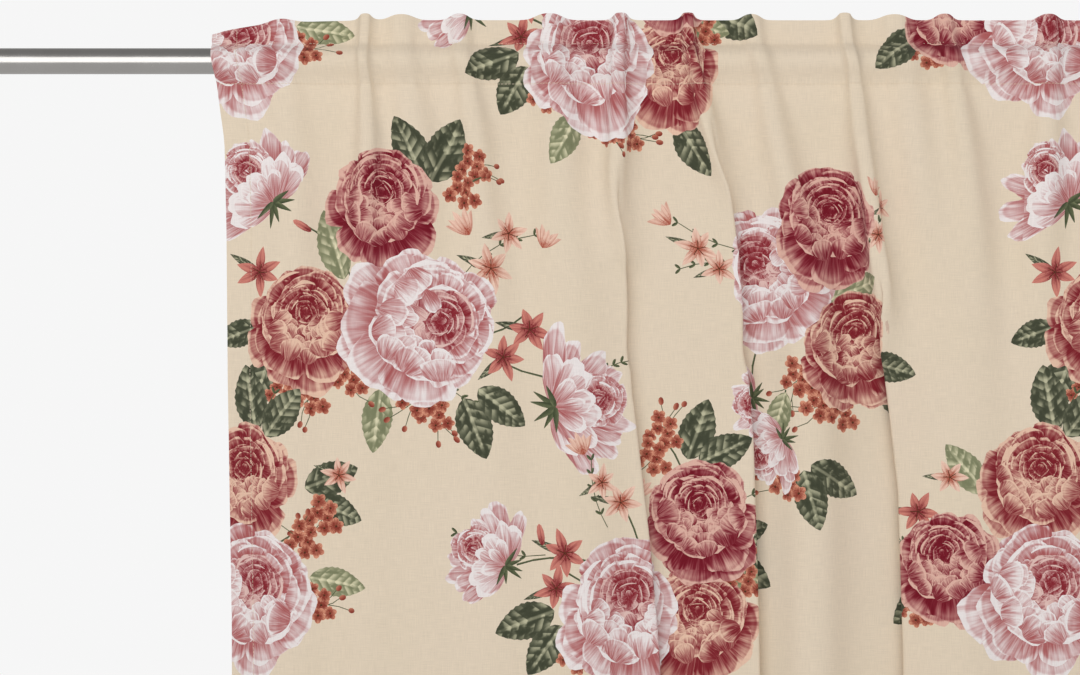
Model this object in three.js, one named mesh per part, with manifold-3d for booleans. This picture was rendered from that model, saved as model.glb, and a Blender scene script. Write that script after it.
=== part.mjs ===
// A pair of rod-pocket curtains on a telescopic rod, held by three wall brackets.
// Millimetres: +X to the right, +Y towards the wall, +Z up.
// The origin is the centre of the centre bracket's wall face.

import * as THREE from 'three';
import { mergeVertices } from 'three/addons/utils/BufferGeometryUtils.js';
import Module from 'manifold-3d';

// Clearances
const GAP = 0.3; // between pieces that touch or are pressed together
const RUNNING_GAP = 0.5; // between pieces that slide on each other
const SCREW_GAP = 0.3; // between a screw and its hole, on the radius

// Rod
const ROD_RADIUS = 14;
const TUBE_WALL = 1;
const BUSH_WALL = 0.8;
const ROD_LENGTH = 2800;
const OUTER_TUBE_REACH = 180; // past the middle of the rod
const TUBE_OVERLAP = 600;
const BUSH_DEPTH = 25;
const BUSH_LIP = 2;
const PLUG_DEPTH = 24;
const PLUG_FLANGE = 2;

// Finials
const FINIAL_RIM = 3; // past the rod's radius
const FINIAL_LENGTH = 34;
const FINIAL_NECK_RADIUS = 9;
const FINIAL_NECK = 4;
const FINIAL_ROUNDING = 3;
const SPIGOT_RADIUS = 3.7;
const SPIGOT_LENGTH = 18;

// Brackets
const PROJECTION = 95; // wall to rod axis
const BRACKET_INSET = 50; // end of the rod to the outer brackets
const PLATE_RADIUS = 28;
const PLATE_THICKNESS = 5;
const BOSS_RADIUS = 10;
const BOSS_LENGTH = 21;
const ARM_RADIUS = 6;
const SOCKET_FLOOR = 8; // wall to the floor of the arm's socket
const SCREW_OFFSET = 19;
const SCREW_RADIUS = 2.25;
const SCREW_HEAD_RADIUS = 4.25;
const SCREW_HEAD_DEPTH = 2.3;
const GRUB_RADIUS = 2.5;
const GRUB_SETBACK = 6; // from the boss's front edge
const COVER_RADIUS = 31;
const COVER_DEPTH = 15;
const COVER_WALL = 1.4;
const COVER_ROUNDING = 4;

// Cradles and their thumb screws
const CRADLE_WALL = 4;
const CRADLE_WIDTH = 18;
const CRADLE_FRONT = 6; // lip height above the rod axis
const CRADLE_BACK = 14;
const CRADLE_BOSS_RADIUS = 9;
const CRADLE_BOSS_LENGTH = 14;
const FOOT_RADIUS = 6;
const FOOT_LENGTH = 4;
const THUMB_RADIUS = 2.4;
const THUMB_TRAVEL = 3.4; // clear stretch of shank between the foot and the knob
const KNOB_RADIUS = 9;
const KNOB_HEIGHT = 8;
const KNOB_BORE_DEPTH = 6;
const KNURL_TEETH = 16;
const KNURL_DEPTH = 0.7;

// Curtains
const PANEL_WIDTH = 1033; // as hung
const PARTING = 54; // between the two panels, at the centre bracket
const DROP = 2600; // top edge to bottom edge
const HEADING_HEIGHT = 25; // of the ruffle above the pocket
const POCKET_CLEARANCE = 0.8; // cloth to rod
const POCKET_EASE_ABOVE = 1.8; // from the cloth round the rod to the upper seam
const POCKET_EASE_BELOW = 7.8; // and to the lower seam
const SIDE_HEM = 30;
const BOTTOM_HEM = 100;
const CLOTH = 2.4;
const HEM_CLOTH = 3.6;
const FOLDS = 9;
const FOLD_DEPTH = 20;
const HEADING_FOLD_DEPTH = 10;
const STEPS_PER_FOLD = 6;

// Roundness of turned pieces
const SEGMENTS = 24;
const SCREW_SEGMENTS = 12;

// Worked out from the sizes above
const ROD_END = ROD_LENGTH / 2;
const FINIAL_RADIUS = ROD_RADIUS + FINIAL_RIM;
const INNER_RADIUS = ROD_RADIUS - TUBE_WALL - BUSH_WALL - 2 * GAP;
const BRACKET_X = ROD_END - BRACKET_INSET;
const BOSS_FRONT = PLATE_THICKNESS + BOSS_LENGTH;
const PANEL_INNER = PARTING / 2;
const PANEL_OUTER = PANEL_INNER + PANEL_WIDTH;
const POCKET_INNER = ROD_RADIUS + POCKET_CLEARANCE;
const POCKET_TOP = POCKET_INNER + CLOTH + POCKET_EASE_ABOVE; // above the rod axis
const POCKET_BOTTOM = -POCKET_INNER - CLOTH - POCKET_EASE_BELOW;
const HEADING_TOP = POCKET_TOP + HEADING_HEIGHT;

const manifold = await Module();
manifold.setup();

const finishes = {
  chrome: [0xc9cbce, 0.22, 1],
  steel: [0xb4b7bb, 0.4, 1],
  plastic: [0xe6e6e3, 0.55, 0],
  cloth: [0xdbcbb4, 0.95, 0],
};

const curtains = new THREE.Group();

function addMesh(parent, name, geometry, finish) {
  const [color, roughness, metalness] = finishes[finish];
  const material = new THREE.MeshStandardMaterial({ color, roughness, metalness });
  const mesh = new THREE.Mesh(geometry, material);
  mesh.name = name;
  parent.add(mesh);
  return mesh;
}

function addGroup(x, y, z) {
  const group = new THREE.Group();
  group.position.set(x, y, z);
  curtains.add(group);
  return group;
}

// Booleans ------------------------------------------------------------------

function toSolid(geometry) {
  const bare = geometry.clone();
  bare.deleteAttribute('normal');
  bare.deleteAttribute('uv');
  const merged = mergeVertices(bare, 1e-4);
  const corners = merged.index.array;
  const triangles = [];
  for (let i = 0; i < corners.length; i += 3) {
    const [a, b, c] = corners.slice(i, i + 3);
    if (a !== b && b !== c && c !== a) triangles.push(a, b, c);
  }
  return new manifold.Manifold(new manifold.Mesh({
    numProp: 3,
    vertProperties: new Float32Array(merged.attributes.position.array),
    triVerts: new Uint32Array(triangles),
  }));
}

function toGeometry(solid) {
  const mesh = solid.getMesh();
  const geometry = new THREE.BufferGeometry();
  geometry.setAttribute('position', new THREE.BufferAttribute(mesh.vertProperties, 3));
  geometry.setIndex(new THREE.BufferAttribute(mesh.triVerts, 1));
  geometry.computeVertexNormals();
  return geometry;
}

function combine(base, added, removed) {
  let solid = toSolid(base);
  for (const piece of added) solid = solid.add(toSolid(piece));
  for (const piece of removed) solid = solid.subtract(toSolid(piece));
  return toGeometry(solid);
}

// Basic shapes ----------------------------------------------------------------

// A piece turned about the Y axis. The outline lists [radius, y] with y rising on its outside.
function turned(outline, segments = SEGMENTS) {
  return new THREE.LatheGeometry(outline.map(([radius, y]) => new THREE.Vector2(radius, y)), segments);
}

// The same piece with its axis along X, its first end towards -X.
function turnedAlongX(outline, segments) {
  return turned(outline, segments).rotateZ(-Math.PI / 2);
}

// The same piece with its axis upright.
function turnedUpright(outline, segments) {
  return turned(outline, segments).rotateX(Math.PI / 2);
}

// A quarter circle of outline points about [radius, y], between two angles.
function arcPoints(radius, y, size, from, to, steps = 3) {
  const points = [];
  for (let i = 0; i <= steps; i++) {
    const angle = from + ((to - from) * i) / steps;
    points.push([radius + size * Math.cos(angle), y + size * Math.sin(angle)]);
  }
  return points;
}

// A solid whose side view, drawn as (y, z), runs for `width` along +X.
function sideExtrusion(shape, width, curveSegments) {
  const geometry = new THREE.ExtrudeGeometry(shape, { depth: width, bevelEnabled: false, curveSegments });
  return geometry.rotateY(Math.PI / 2).rotateX(Math.PI / 2);
}

// Brackets ------------------------------------------------------------------

function wallPlate() {
  const socket = ARM_RADIUS + GAP;
  const plate = turned([
    [0, -SOCKET_FLOOR],
    [socket, -SOCKET_FLOOR],
    [socket, -BOSS_FRONT],
    [BOSS_RADIUS, -BOSS_FRONT],
    [BOSS_RADIUS, -PLATE_THICKNESS],
    [PLATE_RADIUS - 1, -PLATE_THICKNESS],
    [PLATE_RADIUS, -PLATE_THICKNESS + 1],
    [PLATE_RADIUS, 0],
    [0, 0],
  ]);
  const hole = turned([
    [0, -PLATE_THICKNESS - 1],
    [SCREW_HEAD_RADIUS + SCREW_GAP + 1, -PLATE_THICKNESS - 1],
    [SCREW_HEAD_RADIUS + SCREW_GAP, -PLATE_THICKNESS],
    [SCREW_RADIUS + SCREW_GAP, -PLATE_THICKNESS + SCREW_HEAD_DEPTH],
    [SCREW_RADIUS + SCREW_GAP, 1],
    [0, 1],
  ], SCREW_SEGMENTS);
  const grubHole = new THREE.CylinderGeometry(
    GRUB_RADIUS + SCREW_GAP, GRUB_RADIUS + SCREW_GAP, BOSS_RADIUS + 1, SCREW_SEGMENTS);
  grubHole.rotateX(Math.PI / 2);
  grubHole.translate(0, -BOSS_FRONT + GRUB_SETBACK, -(BOSS_RADIUS + 1) / 2);
  const upper = hole.clone().translate(0, 0, SCREW_OFFSET);
  const lower = hole.clone().translate(0, 0, -SCREW_OFFSET);
  return combine(plate, [], [upper, lower, grubHole]);
}

// A countersunk screw with a hexagonal recess. Its shank is cut off just short of the wall face.
function wallScrew() {
  const face = -PLATE_THICKNESS + GAP;
  const screw = turned([
    [0, face],
    [SCREW_HEAD_RADIUS, face],
    [SCREW_RADIUS, face + SCREW_HEAD_DEPTH],
    [SCREW_RADIUS, -GAP],
    [0, -GAP],
  ], SCREW_SEGMENTS);
  const recess = new THREE.CylinderGeometry(1.7, 1.7, 3, 6).translate(0, face, 0);
  return combine(screw, [], [recess]);
}

function grubScrew() {
  const top = ARM_RADIUS + GAP;
  const grub = new THREE.CylinderGeometry(GRUB_RADIUS, GRUB_RADIUS, BOSS_RADIUS - top, SCREW_SEGMENTS);
  grub.translate(0, (BOSS_RADIUS + top) / 2, 0);
  const recess = new THREE.CylinderGeometry(1.2, 1.2, 3, 6).translate(0, BOSS_RADIUS, 0);
  return combine(grub, [], [recess]).rotateX(-Math.PI / 2);
}

// A shallow round cap that hides the wall plate and slides forward along the boss and the arm.
function plateCover() {
  const bore = BOSS_RADIUS + RUNNING_GAP;
  const edge = COVER_RADIUS - COVER_ROUNDING;
  const front = -COVER_DEPTH + COVER_ROUNDING;
  const outside = arcPoints(edge, front, COVER_ROUNDING, -Math.PI / 2, 0);
  const inside = arcPoints(edge, front, COVER_ROUNDING - COVER_WALL, 0, -Math.PI / 2);
  return turned([
    [bore, -COVER_DEPTH],
    ...outside,
    [COVER_RADIUS, -GAP],
    [COVER_RADIUS - COVER_WALL, -GAP],
    ...inside,
    [bore, -COVER_DEPTH + COVER_WALL],
    [bore, -COVER_DEPTH],
  ]);
}

function cradleBack(tubeRadius) {
  return PROJECTION - tubeRadius - RUNNING_GAP - CRADLE_WALL;
}

// The arm runs from the floor of the wall plate's socket to the floor of the cradle's.
function arm(tubeRadius) {
  const start = SOCKET_FLOOR + GAP;
  const end = cradleBack(tubeRadius) - 3 * GAP;
  const bar = new THREE.CylinderGeometry(ARM_RADIUS, ARM_RADIUS, end - start, SEGMENTS);
  return bar.translate(0, -(start + end) / 2, 0);
}

// An open-topped hook around the rod, drawn about the rod axis, with a socket for the arm
// behind it and a foot with the thumb screw's hole below it.
function cradle(tubeRadius) {
  const inner = tubeRadius + RUNNING_GAP;
  const outer = inner + CRADLE_WALL;
  const hook = new THREE.Shape();
  hook.moveTo(outer, CRADLE_BACK);
  hook.lineTo(inner, CRADLE_BACK);
  hook.lineTo(inner, 0);
  hook.absarc(0, 0, inner, 0, -Math.PI, true);
  hook.lineTo(-inner, CRADLE_FRONT);
  hook.lineTo(-outer, CRADLE_FRONT);
  hook.lineTo(-outer, 0);
  hook.absarc(0, 0, outer, -Math.PI, 0, false);
  hook.closePath();
  const body = sideExtrusion(hook, CRADLE_WIDTH, 12).translate(-CRADLE_WIDTH / 2, 0, 0);

  const bossStart = inner + CRADLE_WALL / 2;
  const bossEnd = outer + CRADLE_BOSS_LENGTH;
  const boss = new THREE.CylinderGeometry(
    CRADLE_BOSS_RADIUS, CRADLE_BOSS_RADIUS, bossEnd - bossStart, SEGMENTS);
  boss.translate(0, (bossStart + bossEnd) / 2, 0);
  const socketStart = outer + 2 * GAP;
  const socket = new THREE.CylinderGeometry(
    ARM_RADIUS + GAP, ARM_RADIUS + GAP, CRADLE_BOSS_LENGTH + 1, SEGMENTS);
  socket.translate(0, socketStart + (CRADLE_BOSS_LENGTH + 1) / 2, 0);

  const footTop = -inner - CRADLE_WALL / 2;
  const footBottom = -outer - FOOT_LENGTH;
  const foot = new THREE.CylinderGeometry(FOOT_RADIUS, FOOT_RADIUS, footTop - footBottom, SEGMENTS);
  foot.rotateX(Math.PI / 2).translate(0, 0, (footTop + footBottom) / 2);
  const screwHole = new THREE.CylinderGeometry(
    THUMB_RADIUS + SCREW_GAP, THUMB_RADIUS + SCREW_GAP, 2 * outer, SCREW_SEGMENTS);
  screwHole.rotateX(Math.PI / 2).translate(0, 0, -outer - 1);
  return combine(body, [boss, foot], [socket, screwHole]);
}

function footEnd(tubeRadius) {
  return tubeRadius + RUNNING_GAP + CRADLE_WALL + FOOT_LENGTH;
}

// The shank stops just under the rod and ends inside the knob's bore.
function thumbShank(tubeRadius) {
  const top = -tubeRadius - GAP;
  const knobTop = -footEnd(tubeRadius) - THUMB_TRAVEL;
  const bottom = knobTop - KNOB_BORE_DEPTH + GAP;
  return turnedUpright([
    [0, bottom],
    [THUMB_RADIUS, bottom],
    [THUMB_RADIUS, top - 1],
    [THUMB_RADIUS - 1, top],
    [0, top],
  ], SCREW_SEGMENTS);
}

function thumbKnob(tubeRadius) {
  const outline = [];
  for (let i = 0; i < 2 * KNURL_TEETH; i++) {
    const radius = i % 2 === 0 ? KNOB_RADIUS : KNOB_RADIUS - KNURL_DEPTH;
    const angle = (Math.PI * i) / KNURL_TEETH;
    outline.push(new THREE.Vector2(radius * Math.cos(angle), radius * Math.sin(angle)));
  }
  const top = -footEnd(tubeRadius) - THUMB_TRAVEL;
  const grip = new THREE.ExtrudeGeometry(new THREE.Shape(outline), { depth: KNOB_HEIGHT, bevelEnabled: false });
  grip.translate(0, 0, top - KNOB_HEIGHT);
  const bore = new THREE.CylinderGeometry(
    THUMB_RADIUS + GAP, THUMB_RADIUS + GAP, 2 * KNOB_BORE_DEPTH, SCREW_SEGMENTS);
  bore.rotateX(Math.PI / 2).translate(0, 0, top);
  return combine(grip, [], [bore]);
}

function addBracket(side, x, tubeRadius) {
  const wall = addGroup(x, 0, 0);
  addMesh(wall, `${side}_wall_plate`, wallPlate(), 'chrome');
  addMesh(wall, `${side}_upper_wall_screw`, wallScrew(), 'steel').position.z = SCREW_OFFSET;
  addMesh(wall, `${side}_lower_wall_screw`, wallScrew(), 'steel').position.z = -SCREW_OFFSET;
  addMesh(wall, `${side}_grub_screw`, grubScrew(), 'steel').position.y = -BOSS_FRONT + GRUB_SETBACK;
  addMesh(wall, `${side}_plate_cover`, plateCover(), 'chrome');
  addMesh(wall, `${side}_arm`, arm(tubeRadius), 'chrome');
  const hold = addGroup(x, -PROJECTION, 0);
  addMesh(hold, `${side}_cradle`, cradle(tubeRadius), 'chrome');
  addMesh(hold, `${side}_thumb_screw`, thumbShank(tubeRadius), 'steel');
  addMesh(hold, `${side}_thumb_knob`, thumbKnob(tubeRadius), 'chrome');
}

// Rod -----------------------------------------------------------------------

function tube(radius, start, end) {
  const bore = radius - TUBE_WALL;
  return turnedAlongX([
    [bore, start],
    [radius, start],
    [radius, end],
    [bore, end],
    [bore, start],
  ]);
}

// A plastic sleeve in the mouth of the outer tube, with a lip against its end.
function guideBush() {
  const bore = INNER_RADIUS + GAP;
  const sleeve = bore + BUSH_WALL;
  return turnedAlongX([
    [bore, -BUSH_DEPTH],
    [sleeve, -BUSH_DEPTH],
    [sleeve, GAP],
    [ROD_RADIUS, GAP],
    [ROD_RADIUS, GAP + BUSH_LIP],
    [bore, GAP + BUSH_LIP],
    [bore, -BUSH_DEPTH],
  ]);
}

// A plug in the end of a tube, drawn for the right end about the tube's end face.
// Its bore takes the finial's spigot.
function endPlug(tubeRadius) {
  const body = tubeRadius - TUBE_WALL - GAP;
  const bore = SPIGOT_RADIUS + GAP;
  return turnedAlongX([
    [0, -PLUG_DEPTH],
    [body, -PLUG_DEPTH],
    [body, GAP],
    [tubeRadius, GAP],
    [tubeRadius, GAP + PLUG_FLANGE],
    [bore, GAP + PLUG_FLANGE],
    [bore, -SPIGOT_LENGTH],
    [0, -SPIGOT_LENGTH],
  ]);
}

// A plain cylindrical end cap on a short neck, with its spigot, about the same end face.
function finial() {
  const face = 2 * GAP + PLUG_FLANGE;
  const cap = face + FINIAL_NECK;
  const end = cap + FINIAL_LENGTH;
  const edge = FINIAL_RADIUS - FINIAL_ROUNDING;
  return turnedAlongX([
    [0, -SPIGOT_LENGTH + GAP],
    [SPIGOT_RADIUS, -SPIGOT_LENGTH + GAP],
    [SPIGOT_RADIUS, face],
    [FINIAL_NECK_RADIUS, face],
    [FINIAL_NECK_RADIUS, cap],
    [FINIAL_RADIUS - 1, cap],
    [FINIAL_RADIUS, cap + 1],
    ...arcPoints(edge, end - FINIAL_ROUNDING, FINIAL_ROUNDING, 0, Math.PI / 2),
    [0, end],
  ]);
}

function addRod() {
  const rod = addGroup(0, -PROJECTION, 0);
  addMesh(rod, 'outer_tube', tube(ROD_RADIUS, -ROD_END, OUTER_TUBE_REACH), 'chrome');
  addMesh(rod, 'inner_tube', tube(INNER_RADIUS, OUTER_TUBE_REACH - TUBE_OVERLAP, ROD_END), 'chrome');
  addMesh(rod, 'guide_bush', guideBush(), 'plastic').position.x = OUTER_TUBE_REACH;
  const ends = [['left', -1, ROD_RADIUS], ['right', 1, INNER_RADIUS]];
  for (const [side, sign, tubeRadius] of ends) {
    const end = addGroup(sign * ROD_END, -PROJECTION, 0);
    end.rotation.z = sign < 0 ? Math.PI : 0;
    addMesh(end, `${side}_end_plug`, endPlug(tubeRadius), 'plastic');
    addMesh(end, `${side}_finial`, finial(), 'chrome');
  }
}

// Curtains ------------------------------------------------------------------

// The side view of a strip of cloth that splits into two layers around the rod.
function stripAroundRod(bottom, top, thickness) {
  const outer = POCKET_INNER + CLOTH;
  const half = thickness / 2;
  const meet = Math.asin(half / outer);
  const strip = new THREE.Shape();
  strip.moveTo(half, top);
  strip.lineTo(-half, top);
  strip.absarc(0, 0, outer, Math.PI / 2 + meet, 1.5 * Math.PI - meet, false);
  strip.lineTo(-half, bottom);
  strip.lineTo(half, bottom);
  strip.absarc(0, 0, outer, -Math.PI / 2 + meet, Math.PI / 2 - meet, false);
  strip.closePath();
  const channel = new THREE.Path();
  channel.absarc(0, 0, POCKET_INNER, 0, 2 * Math.PI, true);
  strip.holes.push(channel);
  return strip;
}

// A gathered sheet seen from above: an even wave of the stated depth, between its two hems.
function gatheredSheet(width, height, depth, thickness) {
  const steps = FOLDS * STEPS_PER_FOLD;
  const front = [];
  const back = [];
  for (let i = 0; i <= steps; i++) {
    const phase = (2 * Math.PI * FOLDS * i) / steps;
    const slope = ((2 * Math.PI * FOLDS * depth) / width) * Math.cos(phase);
    const half = (thickness / 2) * Math.hypot(1, slope);
    const x = (width * i) / steps;
    const y = depth * Math.sin(phase);
    front.push(new THREE.Vector2(x, y - half));
    back.unshift(new THREE.Vector2(x, y + half));
  }
  const outline = new THREE.Shape([...front, ...back]);
  return new THREE.ExtrudeGeometry(outline, { depth: height, bevelEnabled: false });
}

function addPanel(side, start) {
  const panel = addGroup(start, -PROJECTION, 0);
  const bottom = HEADING_TOP - DROP;
  const dropTop = POCKET_BOTTOM - GAP;
  const bodyStart = SIDE_HEM + GAP;
  const bodyWidth = PANEL_WIDTH - 2 * bodyStart;
  const edges = [
    ['outer', side === 'left' ? 0 : PANEL_WIDTH - SIDE_HEM],
    ['leading', side === 'left' ? PANEL_WIDTH - SIDE_HEM : 0],
  ];
  for (const [edge, x] of edges) {
    const pocketEnd = sideExtrusion(stripAroundRod(POCKET_BOTTOM, HEADING_TOP, HEM_CLOTH), SIDE_HEM, 12);
    const hem = new THREE.BoxGeometry(SIDE_HEM, HEM_CLOTH, dropTop - bottom);
    addMesh(panel, `${side}_${edge}_pocket_end`, pocketEnd, 'cloth').position.x = x;
    const hemMesh = addMesh(panel, `${side}_${edge}_hem`, hem, 'cloth');
    hemMesh.position.set(x + SIDE_HEM / 2, 0, (dropTop + bottom) / 2);
  }
  const pocket = sideExtrusion(stripAroundRod(POCKET_BOTTOM, POCKET_TOP, CLOTH), bodyWidth, 12);
  const heading = gatheredSheet(bodyWidth, HEADING_HEIGHT - GAP, HEADING_FOLD_DEPTH, CLOTH);
  const hemTop = bottom + BOTTOM_HEM;
  const cloth = gatheredSheet(bodyWidth, dropTop - hemTop - GAP, FOLD_DEPTH, CLOTH);
  const bottomHem = gatheredSheet(bodyWidth, BOTTOM_HEM, FOLD_DEPTH, HEM_CLOTH);
  addMesh(panel, `${side}_pocket`, pocket, 'cloth').position.x = bodyStart;
  addMesh(panel, `${side}_heading`, heading, 'cloth').position.set(bodyStart, 0, POCKET_TOP + GAP);
  addMesh(panel, `${side}_drop`, cloth, 'cloth').position.set(bodyStart, 0, hemTop + GAP);
  addMesh(panel, `${side}_bottom_hem`, bottomHem, 'cloth').position.set(bodyStart, 0, bottom);
}

addBracket('left', -BRACKET_X, ROD_RADIUS);
addBracket('centre', 0, ROD_RADIUS);
addBracket('right', BRACKET_X, INNER_RADIUS);
addRod();
addPanel('left', -PANEL_OUTER);
addPanel('right', PANEL_INNER);

export default curtains;
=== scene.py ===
"""The looks of two printed rod-pocket curtains on a telescopic rod."""

import math

import bmesh
import bpy
import numpy as np
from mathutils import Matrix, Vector
from mathutils.geometry import delaunay_2d_cdt


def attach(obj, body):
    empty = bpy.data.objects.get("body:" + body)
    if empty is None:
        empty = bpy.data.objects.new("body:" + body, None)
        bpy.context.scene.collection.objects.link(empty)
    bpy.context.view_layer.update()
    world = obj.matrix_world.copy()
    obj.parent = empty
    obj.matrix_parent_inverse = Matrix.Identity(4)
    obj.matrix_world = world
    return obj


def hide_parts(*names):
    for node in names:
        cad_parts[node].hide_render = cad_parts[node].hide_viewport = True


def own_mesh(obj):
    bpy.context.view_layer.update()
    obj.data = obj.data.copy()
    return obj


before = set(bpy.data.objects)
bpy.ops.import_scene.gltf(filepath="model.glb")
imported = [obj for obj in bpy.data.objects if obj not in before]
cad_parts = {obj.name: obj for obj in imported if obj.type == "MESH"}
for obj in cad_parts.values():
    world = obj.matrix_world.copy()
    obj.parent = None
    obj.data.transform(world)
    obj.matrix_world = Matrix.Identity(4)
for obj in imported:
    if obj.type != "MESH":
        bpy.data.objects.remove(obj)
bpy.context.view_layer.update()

MM = 0.001

# The cloth, in millimetres of the flat cloth: u to the right and t down from its top edge.
FLAT_WIDTH = 1160.0
SIDE_HEM = 30.0
BOTTOM_HEM = 100.0
CLOTH = 0.9
HEM_LAYER = 1.1
BLOCK_COLUMNS = 2
BLOCK_ROWS = 3

# The rod's pocket, in millimetres from the rod's axis.
ROD_SIDE = -95.0
HEADING_TOP = 44.0
POCKET_TOP = 19.0
POCKET_BOTTOM = -25.0
WRAP_RADIUS = 15.6

# The printed pattern's repeat.
REPEAT_WIDTH = 1000.0
REPEAT_HEIGHT = 605.0
CELL_WIDTH = 3.8
CELL_HEIGHT = 12.0

PETAL, LEAF, BERRY, STALK, LILY = range(1, 6)


def shown(red, green, blue):
    """A colour given as it looks, as the renderer's linear numbers."""
    share = np.array([red, green, blue], float) / 255
    return np.where(share <= 0.04045, share / 12.92, ((share + 0.055) / 1.055) ** 2.4)


def smooth(low, high, value):
    """A soft step from 0 at low to 1 at high."""
    ramp = np.clip((value - low) / (high - low), 0, 1)
    return ramp * ramp * (3 - 2 * ramp)


# ---------------------------------------------------------------- the printed pattern

BURGUNDY = (shown(114, 14, 32), shown(224, 180, 164))
CORAL = (shown(124, 28, 38), shown(232, 194, 170))
BLUSH = (shown(170, 90, 90), shown(238, 230, 228))
BLUSH_HEART = (shown(134, 36, 46), shown(226, 192, 184))
DEEP_LEAF = (shown(58, 62, 46), shown(192, 189, 158))
PALE_LEAF = (shown(120, 124, 92), shown(226, 219, 184))
RUST = (shown(128, 46, 36), shown(226, 160, 130))
PEACH = (shown(164, 76, 58), shown(244, 212, 192))
WINE = (shown(118, 32, 38), shown(216, 140, 124))
TWIG = (shown(58, 66, 44), shown(146, 150, 112))
EYE = (shown(60, 28, 20), shown(150, 90, 50))
FLOWER_TONES = {"burgundy": (BURGUNDY, BURGUNDY), "coral": (CORAL, CORAL), "blush": (BLUSH, BLUSH_HEART)}


def pointing(angle):
    return np.array([math.cos(angle), math.sin(angle)])


class Artwork:
    """Overlapping outlines in the order they are painted, each with its own direction for its shading."""

    def __init__(self):
        self.outlines = []
        self.shapes = []

    def paint(self, kind, tones, base, angle, length, width, outline, tone=0.5, depth=0.0):
        """The outline runs from 0 to 1 along the shape's length and from -1 to 1 across it."""
        along = pointing(angle)
        across = np.array([-along[1], along[0]])
        base = np.array(base, float)
        self.outlines.append(base + outline[:, :1] * length * along + outline[:, 1:] * (width / 2) * across)
        self.shapes.append((base, along, across, length, width / 2, tones, (kind, tone, depth)))

    def repeated(self):
        """The same artwork, with a copy of every shape that crosses the repeat's edge on its other side."""
        full = Artwork()
        size = np.array([REPEAT_WIDTH, REPEAT_HEIGHT])
        for outline, shape in zip(self.outlines, self.shapes):
            for column in (-1, 0, 1):
                for row in (-1, 0, 1):
                    shift = size * [column, row]
                    if (outline.min(0) + shift > size).any() or (outline.max(0) + shift < 0).any():
                        continue
                    full.outlines.append(outline + shift)
                    full.shapes.append((shape[0] + shift,) + shape[1:])
        return full


def ring(count, start=0.0):
    angle = start + np.arange(count) * 2 * math.pi / count
    return np.stack([0.5 + 0.5 * np.cos(angle), np.sin(angle)], 1)


def blade(bluntness, steps=8):
    """A pointed shape, as of a lily's petal."""
    along = np.linspace(0, 1, steps)
    half = np.sin(math.pi * along**bluntness) ** 0.85
    return np.concatenate([np.stack([along, half], 1), np.stack([along, -half], 1)[-2:0:-1]])


def petal(art, tones, base, angle, length, width, rng, tone=0.5, depth=0.5, ruffle=0.055, lobes=3):
    """A rounded petal with a ruffled rim, wider towards its tip."""
    count = int(np.clip(9 + max(length, width) * 0.42, 12, 34))
    turn = np.arange(count) * 2 * math.pi / count
    along = 0.5 + 0.5 * np.cos(turn)
    phase = rng.uniform(0, 2 * math.pi)
    wave = np.sin(lobes * turn + phase) + 0.6 * np.sin((2 * lobes + 1) * turn - 2 * phase)
    wave = wave + 0.3 * np.sin((4 * lobes + 1) * turn + 3 * phase)
    reach = 1 + smooth(0.25, 0.8, along) * ruffle * wave
    outline = np.stack([0.5 + (along - 0.5) * reach, np.sin(turn) * (0.7 + 0.3 * along) * reach], 1)
    art.paint(PETAL, tones, base, angle, length, width, outline, tone, depth)


def rolled_rim(art, tones, base, angle, length, width, rng):
    """The turned-over rim of a petal: a light crescent along its tip."""
    swing = np.linspace(-0.85, 0.85, 7)
    edge = 1 - 0.32 * swing**2
    across = (swing + rng.uniform(-0.15, 0.15)) * 0.8
    top = np.stack([edge + 0.015 * np.sin(swing * 9), across], 1)
    under = np.stack([edge - 0.13 * (1 - swing**2) - 0.008, across], 1)[::-1]
    art.paint(PETAL, tones, base, angle, length, width, np.concatenate([top, under]), 1.0, 0.0)


def petal_ring(art, tones, middle, size, reach, count, rng, turn, tone, depth, roundness, wild=0.3):
    """Petals all round a middle, seen from their inner side. Those away from turn are darker."""
    start = rng.uniform(0, 2 * math.pi)
    for i in range(count):
        angle = start + 2 * math.pi * (i + rng.uniform(-0.3, 0.3)) / count
        length = size * reach * rng.uniform(0.5, 0.68)
        base = middle + pointing(angle) * (size * reach * rng.uniform(0.86, 1.06) - length)
        width = 2 * size * reach * math.sin(math.pi / count) * rng.uniform(*roundness)
        lit = tone - 0.16 * math.cos(angle - turn) + rng.uniform(-0.12, 0.12)
        petal(art, tones, base, angle + rng.uniform(-wild, wild), length, width, rng, lit, depth, 0.08)
        if rng.uniform() < 0.3:
            rolled_rim(art, tones, base, angle, length, width, rng)


def skirt(art, tones, middle, size, count, rng, turn, deep):
    """The large outer petals, longest on the side away from turn."""
    start = rng.uniform(0, 2 * math.pi)
    for i in range(count):
        angle = start + 2 * math.pi * (i + rng.uniform(-0.25, 0.25)) / count
        away = math.cos(angle - turn)
        far = size * (1.0 - 0.14 * away) * rng.uniform(0.92, 1.08)
        length = far * rng.uniform(0.6, 0.75)
        width = 2 * far * math.sin(math.pi / count) * rng.uniform(1.0, 1.35)
        base = middle + pointing(angle) * (far - length)
        petal(art, tones, base, angle + rng.uniform(-0.2, 0.2), length, width, rng,
              0.36 - 0.08 * away + rng.uniform(-0.1, 0.1), deep, 0.11, 2)


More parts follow.
